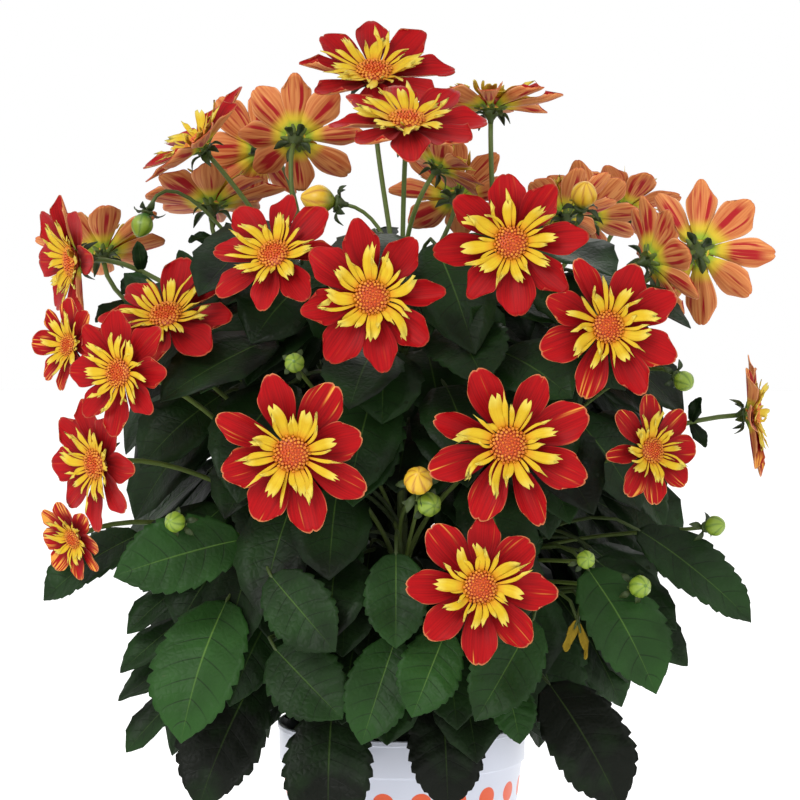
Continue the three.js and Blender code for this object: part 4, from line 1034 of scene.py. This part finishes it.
FINE_COLUMNS = [-1, -0.82, -0.52, -0.22, 0, 0.22, 0.52, 0.82, 1]
FINE_LEAF = leaf_grid(9, [0, 0.4, 0.88], [0.1, 0.03, 0], FINE_COLUMNS)
INNER_LEAF = leaf_grid(5, [0, 0.8], [0.06, 0], [-1, -0.55, 0, 0.55, 1])


def blade_axes(root, tip, out):
    """Of blades in arrays: along the midrib, out of the upper face, across it, and the length."""
    along = tip - root
    length = np.linalg.norm(along, axis=-1, keepdims=True)
    along = along / length
    face = unit(out - (out * along).sum(axis=-1, keepdims=True) * along)
    return along, face, np.cross(face, along), length


def leaves(shape, grid, root, tip, width, out, arch, key, tint):
    """Leaf blades from arrays with one row for each leaf, in mm. The half width is the sine of u to
    a power, cut by teeth. The height is a fold as v, an arch as u(1 - u), cushions between the side
    veins as a squared sine, and waves that grow with v squared."""
    rows, cuts, columns = grid
    along, face, side, length = blade_axes(root, tip, out)
    u, v = rows[None, :, None], columns[None, None, :]
    length, width, key = length[:, :, None], width[:, None, None], key[:, None, None]
    outline = np.sin(np.pi * u**LEAF_BELLY) ** (0.72 + 0.36 * u**3)
    half = 1.2 + (width / 2 - 1.2) * outline - 0.8 * ease(u, 0.9, 1)
    tooth = cuts[None, :, None] * (1 + 0.3 * wobble(key + u * 7))
    across = v * half * (1 - tooth * v**4)
    swell = np.sin(np.pi * u)
    forward = u + LEAF_SLANT * abs(v) * swell
    between = np.sin(np.pi * SIDE_VEINS * (u - VEIN_BEND * v**2)) ** 2
    cushions = between * 4 * abs(v) * (1 - 0.8 * abs(v))
    height = LEAF_FOLD * abs(across) + arch[:, None, None] * length * 4 * u * (1 - u)
    height = height + CUSHION * cushions * swell + 1.4 * wobble(key + 6) * swell**2
    phase = 3 * wobble(key + 8) + 1.3 * np.sign(v)
    wave = np.sin(2 * np.pi * (1.6 + 0.5 * wobble(key + 7)) * u + phase)
    height = height + WAVE * v**2 * wave * swell
    height = height + across * np.tan(np.radians(10 * wobble(key + 9))) * u
    middle = root[:, None, None] + along[:, None, None] * (forward * length)[..., None]
    middle = middle + side[:, None, None] * across[..., None]
    up = face[:, None, None]
    marks = np.stack([tint, np.zeros(len(tint))], axis=-1)
    top = (middle + up * (height + LEAF_THICK)[..., None]) * MM
    bottom = (middle + up * (height - LEAF_THICK)[..., None]) * MM
    add_blades(shape, top, bottom, rows, columns, marks)


for label, grid in (("a fine", FINE_LEAF), ("an inner", INNER_LEAF)):
    print(label, "leaf has", len(grid[0]), "rows and", len(grid[2]), "columns on each face")

# %% [markdown]
# ## Where the leaves are
# The CAD model holds the large leaves that the photograph shows at the front, and rows of leaves
# that ring the bush. The same tables place their fine versions. A living bush is denser than
# that, so more are added here: small ones that stand out from its edge, pairs of them on some
# stalks, two withered ones, and shells of leaves that fill its inside. Each leaf's tone is painted
# light and shade, and the inner leaves get a darker one as painted shade, where little light
# comes. The rule that keeps the leaves of the rows off stalks, flowers and each other is the CAD
# model's, so that they come out in the same places.

# %% Tables of leaves
# The root and tip of each shown leaf in mm, its width, its stem, and how light a green it is,
# which is painted light and shade: lighter for lit leaves, darker for shaded ones.
SHOWN_LEAVES = [
    ((-115, -110, 268), (-143, -148, 180), 66, "front_left", 0.8),
    ((-104, -128, 310), (-186, -146, 288), 52, "front_left", 0.6),
    ((-84, -158, 290), (-42, -190, 246), 46, "front", 0.4),
    ((-82, -140, 240), (-38, -172, 200), 52, "front", 0.4),
    ((-96, -84, 216), (-134, -112, 130), 62, "front_left", 0),
    ((-46, -106, 198), (-48, -132, 118), 62, "front", 0.05),
    ((-4, -156, 250), (-26, -176, 184), 44, "front", 0.55),
    ((-4, -168, 306), (-4, -190, 248), 42, "front", 0.4),
    ((28, -166, 256), (6, -190, 204), 42, "front", 0.7),
    ((84, -158, 262), (46, -192, 202), 46, "front", 0.5),
    ((66, -132, 222), (76, -150, 180), 30, "front", 0.5),
    ((26, -106, 206), (30, -126, 132), 52, "front", 0.0),
    ((96, -116, 214), (142, -144, 136), 58, "front_right", 0),
    ((120, -140, 292), (162, -172, 216), 56, "front_right", 0.6),
    ((156, -88, 312), (230, -100, 252), 46, "front_right", 0.3),
    ((-176, -62, 306), (-240, -66, 262), 42, "front_left", 0.35),
]

# Small leaves that stand out from the edge of the bush, in the same columns, the last of which
# is painted light and shade.
EDGE_LEAVES = [
    ((-140, -60, 276), (-184, -70, 240), 26, "front_left", 0.3),
    ((-148, -58, 248), (-189, -66, 213), 24, "front_left", 0.25),
    ((-142, -50, 226), (-191, -60, 193), 26, "front_left", 0.25),
    ((-140, -60, 206), (-185, -70, 160), 28, "front_left", 0.25),
    ((128, -90, 292), (181, -100, 247), 36, "front_right", 0.35),
    ((140, -84, 264), (189, -94, 222), 34, "front_right", 0.3),
    ((-150, -20, 458), (-188, -30, 480), 30, "front_left", 0.3),
    ((-128, -36, 468), (-150, -44, 496), 28, "front_left", 0.3),
    ((60, -110, 430), (44, -150, 462), 34, "front", 0.3),
    ((-40, -110, 446), (-66, -148, 470), 34, "front", 0.25),
]

AROUND = tuple(SECTORS)
BEHIND = ("back_right", "back", "back_left")
BEFORE = ("front", "front_right", "front_left")

# Flowers, by their places, whose stalks bear pairs of small leaves, and how far along they do.
LEAFY_STALKS = {
    (237, -14, 383): (0.7, 0.84),
    (210, 72, 493): (0.82,),
    (170, -6, 489): (0.84,),
    (128, -190, 451): (0.8,),
    (69, -176, 503): (0.72,),
    (-222, -10, 488): (0.8,),
    (-210, 56, 492): (0.8,),
    (-134, 62, 526): (0.86,),
}

# Two withered leaves that hang at the right of the front: root, tip, width.
WITHERED_LEAVES = [
    ((112, -164, 262), (104, -170, 243), 7),
    ((113, -164, 260), (117, -170, 238), 5),
]

# Rows: height and distance of the roots, drop of the blades, length, width, places, sectors.
LEAF_ROWS = [
    (232, 96, 62, 96, 62, (-15, 15), BEHIND),
    (290, 108, 58, 100, 62, (-17, 13), BEHIND),
    (346, 120, 52, 98, 62, (-13, 17), BEHIND),
    (244, 60, 50, 80, 54, (-18,), BEFORE),
    (262, 104, 60, 88, 60, (-14, 14), BEFORE),
    (318, 72, 56, 78, 54, (-16, 12), BEFORE),
    (366, 110, 56, 76, 52, (-10, 18), BEFORE),
    (408, 122, 50, 90, 58, (-16, 14), AROUND),
    (458, 108, 34, 86, 56, (-13, 15), AROUND),
    (484, 66, 20, 70, 44, (-25,), AROUND),
]

# Shells of inner leaves: distance from the axis, the lowest and highest roots, length, width.
INNER_SHELLS = [
    (132, 296, 480, 78, 54),
    (106, 252, 496, 80, 54),
    (82, 244, 500, 80, 54),
    (60, 232, 500, 76, 52),
    (38, 212, 490, 72, 50),
]
SHELL_STEP = 22
SHELL_DROP = 96
SHELL_LIFT = 0.13


def inner_rows():
    """Rows that cover the shells. Blades hang by 96 degrees less 0.13 for every mm of height; every
    other row is moved sideways by half a place."""
    rows = []
    for r, low, high, length, width in INNER_SHELLS:
        for i, z in enumerate(range(low, high, SHELL_STEP)):
            places = (-28, -8, 12) if i % 2 else (-18, 2, 22)
            rows.append((z, r, SHELL_DROP - SHELL_LIFT * z, length, width, places, AROUND))
    return rows


print(len(LEAF_ROWS), "rows of leaves and", len(inner_rows()), "inner rows")

# %% Room for a leaf
BLADE_SHARES = np.array([0.08, 0.22, 0.36, 0.5, 0.64, 0.78, 0.92])[:, None]
BLADE_SPREAD = np.array([-0.9, -0.45, 0, 0.45, 0.9])
BLADE_MARGIN = 3
STALK_ROOM = 8
OUTER_ROOM = 6
INNER_ROOM = 2.5
PETAL_ROOM = 10
PETAL_MARGIN = 5
PETAL_RISE = 3
CUP_RADIUS = 20
CUP_REACH = 16
BUD_ROOM = 8
STALK_POINTS = np.concatenate([bezier(one[4], 25) for stem in SECTORS for one in stalks_of(stem)])

# Where else a leaf of a row may stand: degrees round the pot, and mm up.
LEAF_SHIFTS = (
    (0, 0), (0, -12), (0, 12), (7, 0), (-7, 0), (7, -14), (-7, -14), (0, -24), (0, 24),
    (12, 8), (-12, 8), (12, -26), (-12, -26),
)


def blade_half(width, s):
    """Half the width of a blade at a share of the way to its tip."""
    return width / 2 * np.sin(np.pi * np.clip(s, 0, 1) ** LEAF_BELLY) ** 0.8


def blade_rise(arch, length, s, across):
    """How far a blade's face stands above the straight line from its root to its tip."""
    return arch * length * 4 * s * (1 - s) + LEAF_FOLD * abs(across)


def blade_plan(root, tip, width, out, arch):
    """A blade as one row of numbers: root, three axes, length, width and arch; and 35 points of it."""
    along, face, side, length = blade_axes(root, tip, out)
    length = length[0]
    across = BLADE_SPREAD * blade_half(width, BLADE_SHARES)
    rise = blade_rise(arch, length, BLADE_SHARES, across)
    points = root + (BLADE_SHARES * length)[..., None] * along
    points = points + across[..., None] * side + rise[..., None] * face
    plan = np.concatenate([root, along, face, side, [length, width, arch]])
    return plan, points.reshape(-1, 3)


def near_blades(plans, points, room):
    """Whether any point lies over any of the blades, within 3 mm of its margins and the room of it."""
    root, along, face, side = np.split(plans[:, None, :12], 4, axis=2)
    length, width, arch = plans[:, 12:].T[:, :, None]
    gap = points - root
    s = (gap * along).sum(axis=-1) / length
    across = (gap * side).sum(axis=-1)
    height = (gap * face).sum(axis=-1) - blade_rise(arch, length, s, across)
    over = (s >= 0) & (s <= 1) & (abs(across) < blade_half(width, s) + BLADE_MARGIN)
    return (over & (abs(height) < room)).any()


def near_flowers(points):
    """Whether any point comes within 10 mm of a flower's petals, into its cup, or near a bud."""
    for place, turn, lift, size, slope, *_ in FLOWERS:
        gap = points - place
        ahead = gap @ direction(turn, lift)
        off = np.sqrt(np.maximum(0, (gap**2).sum(axis=1) - ahead**2))
        above = abs(ahead - off * np.tan(np.radians(slope)) - PETAL_RISE)
        petals = (off < size / 2 + PETAL_MARGIN) & (above < PETAL_ROOM)
        if (petals | ((off < CUP_RADIUS) & (abs(ahead) < CUP_REACH))).any():
            return True
    gaps = (np.linalg.norm(points - place, axis=1) - size / 2 for place, _, _, size, *_ in BUDS)
    return any((gap < BUD_ROOM).any() for gap in gaps)


print("points of stalks to keep off:", len(STALK_POINTS))

# %% From the tables to leaves
SHOWN_ARCH = 0.07
ROW_ARCH = 0.06
EDGE_ARCH = 0.04


def row_leaf(stem, row, place, key, shift, spread):
    """A leaf of a row, moved round the pot and up by a shift: (root, tip, width, out, arch). The
    larger the spread, the more the blades differ in their way and size."""
    z, r, drop, length, width, _, _ = row
    around = SECTORS[stem] + place + shift[0]
    root = direction(around) * (r + 5 * wobble(key)) + UP * (z + shift[1] + 8 * wobble(key + 1))
    way = direction(around + 6 * spread * wobble(key + 3), -drop - 6 * spread * wobble(key + 4))
    tip = root + way * length * (1 + 0.08 * spread * wobble(key + 2))
    out = direction(around) + 0.8 * UP + 0.8 * (1 + 0.6 * wobble(key + 6)) * direction(0)
    return root, tip, width, unit(out), ROW_ARCH


class Bush:
    """The leaves of every sector, and the plans and points of their blades."""

    def __init__(self):
        self.leaves = {stem: [] for stem in SECTORS}
        self.plans, self.points = np.zeros((0, 15)), np.zeros((0, 3))

    def set(self, stem, leaf, key, tone_and_shade):
        """Gives a stem a leaf, which is from then on in the way of others."""
        plan, points = blade_plan(*leaf)
        self.leaves[stem].append((*leaf, key, tone_and_shade))
        self.plans = np.concatenate([self.plans, plan[None]])
        self.points = np.concatenate([self.points, points])

    def is_clear(self, leaf, room):
        """Whether a blade keeps off every stalk, flower and bud, and off the blades set so far."""
        plan, points = blade_plan(*leaf)
        return not (
            near_blades(plan[None], STALK_POINTS, min(STALK_ROOM, 2 * room))
            or near_flowers(points)
            or near_blades(self.plans, points, room)
            or near_blades(plan[None], self.points, room)
        )

    def set_table(self, table, arch):
        """Leaves of a table of places, whose faces look mostly forwards."""
        for i, (root, tip, width, stem, tone_and_shade) in enumerate(table):
            root, tip = np.array(root, float), np.array(tip, float)
            out = unit(root * [0.35, 1, 0]) + 0.35 * UP
            self.set(stem, (root, tip, width, out, arch), 90 + i, tone_and_shade)

    def set_rows(self, rows, shifts, room, spread, tone_and_shade):
        """Leaves of rows: each takes the first shift that keeps it clear, and is left out if none does."""
        for row in rows:
            for stem in row[6]:
                for i, place in enumerate(row[5]):
                    key = SECTORS[stem] + row[0] + 5 * i
                    choices = (row_leaf(stem, row, place, key, shift, spread) for shift in shifts)
                    leaf = next((leaf for leaf in choices if self.is_clear(leaf, room)), None)
                    if leaf:
                        self.set(stem, leaf, key, tone_and_shade + 0.12 * float(wobble(key + 5)))

    def count(self):
        return sum(len(found) for found in self.leaves.values())


modelled = Bush()
modelled.set_table(SHOWN_LEAVES, SHOWN_ARCH)
# Leaves of the rows take a tone near 0.3: painted light and shade.
modelled.set_rows(LEAF_ROWS, LEAF_SHIFTS, OUTER_ROOM, 1, 0.3)
added = Bush()
added.plans, added.points = modelled.plans, modelled.points
added.set_table(EDGE_LEAVES, EDGE_ARCH)
# The inner leaves take a darker tone, near 0.2: painted shade for the inside of the bush.
added.set_rows(inner_rows(), LEAF_SHIFTS[:7], INNER_ROOM, 3, 0.2)
print(modelled.count(), "leaves as in the CAD model and", added.count(), "more")

# %% The leaves of each sector
PETIOLE_POINTS = 9
PETIOLE_END = 6
PAIR_LENGTH = 22
PAIR_WIDTH = 0.48
PAIR_ARCH = 0.08
# The small stalk leaves' tone, a little darker than the rows': painted light and shade.
PAIR_TONE_AND_SHADE = 0.25
WITHERED_NODE = 206
WITHERED_ARCH = -0.12
WITHERED_TONE = 0.5


def petiole(shape, stem, height, leaf):
    """The thin stalk from its node to a blade, under whose midrib it tapers off."""
    root, way = leaf[0], unit(leaf[1] - leaf[0])
    start = stem_point(stem, height)
    span = np.linalg.norm(root - start)
    leaving = start + (direction(SECTORS[stem]) * 0.15 + UP * 0.2) * span
    line = bezier((start, leaving, root - way * 0.3 * span, root), PETIOLE_POINTS)
    line = np.concatenate([line, [root + way * PETIOLE_END]])
    radius = np.append(np.linspace(1.6, 1.2, PETIOLE_POINTS), 0.4)
    # A petiole's tint follows its leaf's tone, so it carries that painted light and shade.
    add_rod(shape, line * MM, radius * MM, 6, 2, [0.12 + 0.4 * leaf[6], 0])


def small_leaves(controls, share, key):
    """A pair of small leaves on a stalk: they leave it on both sides, slanted towards its flower."""
    at, ahead = bezier(controls, 26)[round(25 * share) :][:2]
    along = unit(ahead - at)
    side = unit(np.cross(along, direction(0)))
    pair = []
    for hand in (-1, 1):
        way = unit(0.5 * along + hand * side + 0.35 * direction(0) - 0.3 * UP)
        length = PAIR_LENGTH * (1 + 0.2 * wobble(key + hand))
        form = (PAIR_WIDTH * length, unit(direction(0) + UP), PAIR_ARCH, key, PAIR_TONE_AND_SHADE)
        pair.append((at + way, at + way * length, *form))
    return pair


def columns_of(rows):
    """Rows of leaves as one array for each of their values."""
    return [np.array(column, float) for column in zip(*rows)]


leaf_triangles = 0
for stem in SECTORS:
    foliage = Shape()
    for borne in stalks_of(stem):
        for share in LEAFY_STALKS.get(borne[0][0], ()):
            pair = small_leaves(borne[4], share, borne[0][0][2] + 10 * share)
            leaves(foliage, INNER_LEAF, *columns_of(pair))
    for bush, grid in ((modelled, FINE_LEAF), (added, INNER_LEAF)):
        group = bush.leaves[stem]
        wanted = [leaf[0][2] - 0.3 * np.hypot(*leaf[0][:2]) for leaf in group]
        for leaf, height in zip(group, branch_heights(wanted, LOWEST_LEAF_NODE, STEM_TOP - 4)):
            petiole(foliage, stem, height, leaf)
        leaves(foliage, grid, *columns_of(group))
    piece = foliage.build(f"leafy_stem_{stem}_leaves", [leaf_above, leaf_below, green_skin])
    dress(piece, f"leafy_stem_{stem}")
    leaf_triangles += foliage.triangles()
print("leaves:", leaf_triangles, "triangles")

withered = Shape()
hanging = []
for i, (root, tip, width) in enumerate(WITHERED_LEAVES):
    root, tip = np.array(root, float), np.array(tip, float)
    hanging.append((root, tip, width, direction(20 - 50 * i), WITHERED_ARCH, i, WITHERED_TONE))
    petiole(withered, "front_right", WITHERED_NODE + NODE_GAP * i, hanging[-1])
leaves(withered, INNER_LEAF, *columns_of(hanging))
piece = withered.build("withered_leaves", [withered_leaf, withered_leaf, green_skin])
dress(piece, "leafy_stem_front_right")
print("withered leaves:", withered.triangles(), "triangles")

# %% [markdown]
# ## The pot
# The pot is injection-moulded polypropylene: white, glossy, with a stiff rim band and a thin lip on
# top. It is one turned profile, outside and in, with small radii where the mould had them. A
# Boolean modifier drills its drain holes, because a hole isn't part of a turned shape. The real
# pot carries print, which is left off; a plain band of orange dots keeps its colour there.

# %% Pot plastic
DOT_BAND_HEIGHT = 127 * MM
DOT_BAND_RADIUS = 78 * MM
DOT_RADIUS = 7 * MM
DOT_EDGE = 0.2 * MM
DOTS = 20
PEEL = 1.5 * MM


def pot_plastic():
    """White polypropylene with the faint orange-peel of a mould, and dots on a band round the pot.
    A dot is where the distance from its middle, round the pot and up, is below its radius."""
    finish, tree = new_finish("White moulded polypropylene", Roughness=0.3, IOR=1.49)
    where = add_node(tree, "TexCoord").outputs["Object"]
    x, y, z = add_node(tree, "SeparateXYZ", {0: where}).outputs
    angle = add_node(tree, "Math", {0: x, 1: y}, operation="ARCTAN2")
    turns = add_node(tree, "Math", {0: angle, 1: DOTS / (2 * np.pi)}, operation="MULTIPLY")
    cell = add_node(tree, "Math", {0: turns, 1: 1.0}, operation="FLOORED_MODULO")
    middle = add_node(tree, "Math", {0: cell, 1: 0.5}, operation="SUBTRACT")
    spacing = 2 * np.pi * DOT_BAND_RADIUS / DOTS
    around = add_node(tree, "Math", {0: middle, 1: spacing}, operation="MULTIPLY")
    up = add_node(tree, "Math", {0: z, 1: DOT_BAND_HEIGHT}, operation="SUBTRACT")
    offset = add_node(tree, "CombineXYZ", {0: around, 1: up})
    far = add_node(tree, "VectorMath", {0: offset}, operation="LENGTH")
    dot = add_node(tree, "MapRange", {0: far, 1: DOT_RADIUS + DOT_EDGE, 2: DOT_RADIUS - DOT_EDGE})
    peel = add_node(tree, "TexNoise", {"Vector": where, "Scale": 1 / PEEL, "Detail": 1.0})
    coat(finish, "#C9CDDA", [(dot, "#D9501C")], peel, 0.05, 0.1 * MM)
    return finish


white_plastic = pot_plastic()
print("made", white_plastic.name)

# %% The turned pot and its drain holes
DRAIN_RING = 50
DRAIN_RADIUS = 5
DRILL_START = -5
DRILL_LENGTH = 12
SHARP_ANGLE = 38
POT_PROFILE = [
    [10, 1.2], [58, 1.2], [60, 0], [64.8, 0], [66, 1.2], [71, 42], [76.6, 90], [83, 143],
    [83.6, 144.2], [84.6, 144.6], [85, 145.2], [85, 165.2], [85.2, 166], [86, 166.6], [86, 169.4],
    [85.4, 170], [83.9, 170], [83.4, 169.4], [82.4, 150], [81.4, 143], [69.5, 42], [64.6, 4],
    [62.5, 2.4], [10, 2.4],
]

pot = Shape()
add_turned(pot, POT_PROFILE, 128, np.zeros(3), np.eye(3) * MM, 0, [0.5, 0])
piece = pot.build("pot_moulded", [white_plastic])
drills = Shape()
for turn in (45, 135, 225, 315):
    place = (direction(turn) * DRAIN_RING + UP * DRILL_START) * MM
    drill_profile = [[DRAIN_RADIUS, 0], [DRAIN_RADIUS, DRILL_LENGTH]]
    add_turned(drills, drill_profile, 32, place, np.eye(3) * MM, 0, [0, 0])
drill = drills.build("drain_drill", [white_plastic])
cut = piece.modifiers.new("drain holes", "BOOLEAN")
cut.operation = "DIFFERENCE"
cut.object = drill
bpy.context.view_layer.update()
drilled = bpy.data.meshes.new_from_object(piece.evaluated_get(bpy.context.evaluated_depsgraph_get()))
piece.modifiers.clear()
piece.data = drilled
bpy.data.objects.remove(drill)
piece.data.set_sharp_from_angle(angle=np.radians(SHARP_ANGLE))
dress(piece, "pot")
print("pot:", len(piece.data.vertices), "points after drilling")

# %% [markdown]
# ## Potting soil
# Potting soil is a mix of peat, bark and white perlite. Its surface is a low mound of crumbs. The
# heights are worked out as arrays: every crumb is a small half ball at a seeded random place, and
# each point of the grid takes the highest ball over it.

# %% The finish of the soil
PEAT_PATCH = 12 * MM
PERLITE_CELL = 4 * MM
PEAT_CRUMB = 1.5 * MM


def soil_finish():
    """Dark peat: slow patches of dry and damp, fine crumbs, and pale perlite grains, which are the
    middles of a few cells of a cell pattern."""
    finish, tree = new_finish("Peat potting soil", Roughness=0.95, Specular_IOR_Level=0.15)
    where = add_node(tree, "TexCoord").outputs["Object"]
    patches = add_node(tree, "TexNoise", {"Vector": where, "Scale": 1 / PEAT_PATCH, "Detail": 4.0})
    grains = add_node(tree, "TexVoronoi", {"Vector": where, "Scale": 1 / PERLITE_CELL}).outputs
    pick = add_node(tree, "SeparateColor", {0: grains["Color"]})
    few = add_node(tree, "Math", {0: pick, 1: 0.93}, operation="GREATER_THAN")
    near = add_node(tree, "Math", {0: grains["Distance"], 1: 0.4}, operation="LESS_THAN")
    perlite = add_node(tree, "Math", {0: few, 1: near}, operation="MULTIPLY")
    fine = add_node(tree, "TexNoise", {"Vector": where, "Scale": 1 / PEAT_CRUMB, "Detail": 4.0})
    coat(finish, "#1D130D", [(patches, "#4A3526"), (perlite, "#D8D2C6")], fine, 1.0, 0.8 * MM)
    return finish


peat = soil_finish()
print("made", peat.name)

# %% The soil's surface
CRUMBS = 420
SOIL_EDGE = 79.5
SOIL_SIDES = 120
SOIL_RISE = 5
SOIL_PROFILE = np.array([[62, 2.8], [63.5, 4], [68.6, 42], [80.2, 143]])

rng = np.random.default_rng(7)
crumb_turn = rng.uniform(0, 2 * np.pi, CRUMBS)
crumb_far = SOIL_EDGE * np.sqrt(rng.uniform(0, 1, CRUMBS))
crumb_size = rng.uniform(1.6, 4.6, CRUMBS)
around = np.linspace(0, 2 * np.pi, SOIL_SIDES, endpoint=False)[None, :]
far = np.linspace(SOIL_EDGE, 1, 48)[:, None]
gap = np.linalg.norm(polar(far, around, 0)[:, :, None] - polar(crumb_far, crumb_turn, 0), axis=-1)
ball = np.sqrt(np.maximum(0, crumb_size**2 - gap**2)) * 0.75
mound = SOIL_TOP - 3 + SOIL_RISE * np.cos(np.pi / 2 * far / SOIL_EDGE)
height = mound + ball.max(axis=-1) * ease(SOIL_EDGE - far, 0, 3)
wall = polar(SOIL_PROFILE[:, :1], around, SOIL_PROFILE[:, 1:])
soil = Shape()
add_rings(soil, np.concatenate([wall, polar(far, around, height)]) * MM, 0, [0.5, 0])
dress(soil.build("soil_crumbs", [peat]), "soil")
print("soil:", soil.triangles(), "triangles")

# %% [markdown]
# ## Floor, light and camera
# The photograph is a studio cut-out on white. A wide pale floor and a pale sky stand for that. A
# large soft lamp on the left front shapes the flowers, a weaker one on the right fills, and one
# from behind and above gives the petals' edges their glow. The camera stands 2.2 m away, a little
# above the flowers, with a long lens, so that near and far flowers keep their true sizes.

# %% Floor and sky
floor = Shape()
add_turned(floor, [[6000, -12], [6000, 0]], 96, np.zeros(3), np.eye(3) * MM, 0, [0.5, 0])
white_floor, _ = new_finish(
    "Matt white floor",
    Base_Color=linear("#F4F4F4"),
    Roughness=0.9,
    Specular_IOR_Level=0.1,
    Emission_Color=(1, 1, 1, 1),
    Emission_Strength=0.3,
)
floor.build("studio_floor", [white_floor])

world = bpy.data.worlds.new("studio")
world.use_nodes = True
bpy.context.scene.world = world
sky = world.node_tree.nodes["Background"]
sky.inputs["Color"].default_value = (1, 1, 1, 1)
sky.inputs["Strength"].default_value = 1.0
bpy.context.scene.view_settings.view_transform = "Standard"
print("floor and sky are set")

# %% Lamps and camera
MIDDLE = Vector((0, 0, 0.4))
AIM = Vector((-0.0014, 0, 0.392))
CAMERA_DISTANCE = 2.2
CAMERA_LIFT = 4
LENS = 144
SENSOR = 36


def add_to_scene(name, data, place, aim):
    """A lamp or camera at a place, in metres, that looks at its aim."""
    made = bpy.data.objects.new(name, data)
    bpy.context.scene.collection.objects.link(made)
    made.location = place
    made.rotation_euler = (aim - made.location).to_track_quat("-Z", "Y").to_euler()
    return made


def soft_lamp(name, place, size, watts):
    """A square lamp that faces the middle of the plant."""
    data = bpy.data.lights.new(name, "AREA")
    data.size = size
    data.energy = watts
    add_to_scene(name, data, place, MIDDLE)


soft_lamp("key", (-1.3, -2.0, 1.9), 1.0, 36)
soft_lamp("fill", (1.9, -1.4, 1.0), 1.6, 8)
soft_lamp("back", (0.4, 1.8, 1.9), 1.2, 10)

camera_data = bpy.data.cameras.new("camera")
camera_data.lens = LENS
camera_data.sensor_width = SENSOR
stand = AIM + Vector(direction(0, CAMERA_LIFT)) * CAMERA_DISTANCE
camera = add_to_scene("camera", camera_data, stand, AIM)
bpy.context.scene.camera = camera
print("camera at", [round(x, 3) for x in camera.location])

# %% [markdown]
# ## The last update
# The last line brings the view layer up to date.

# %% Update the view layer
bpy.context.view_layer.update()
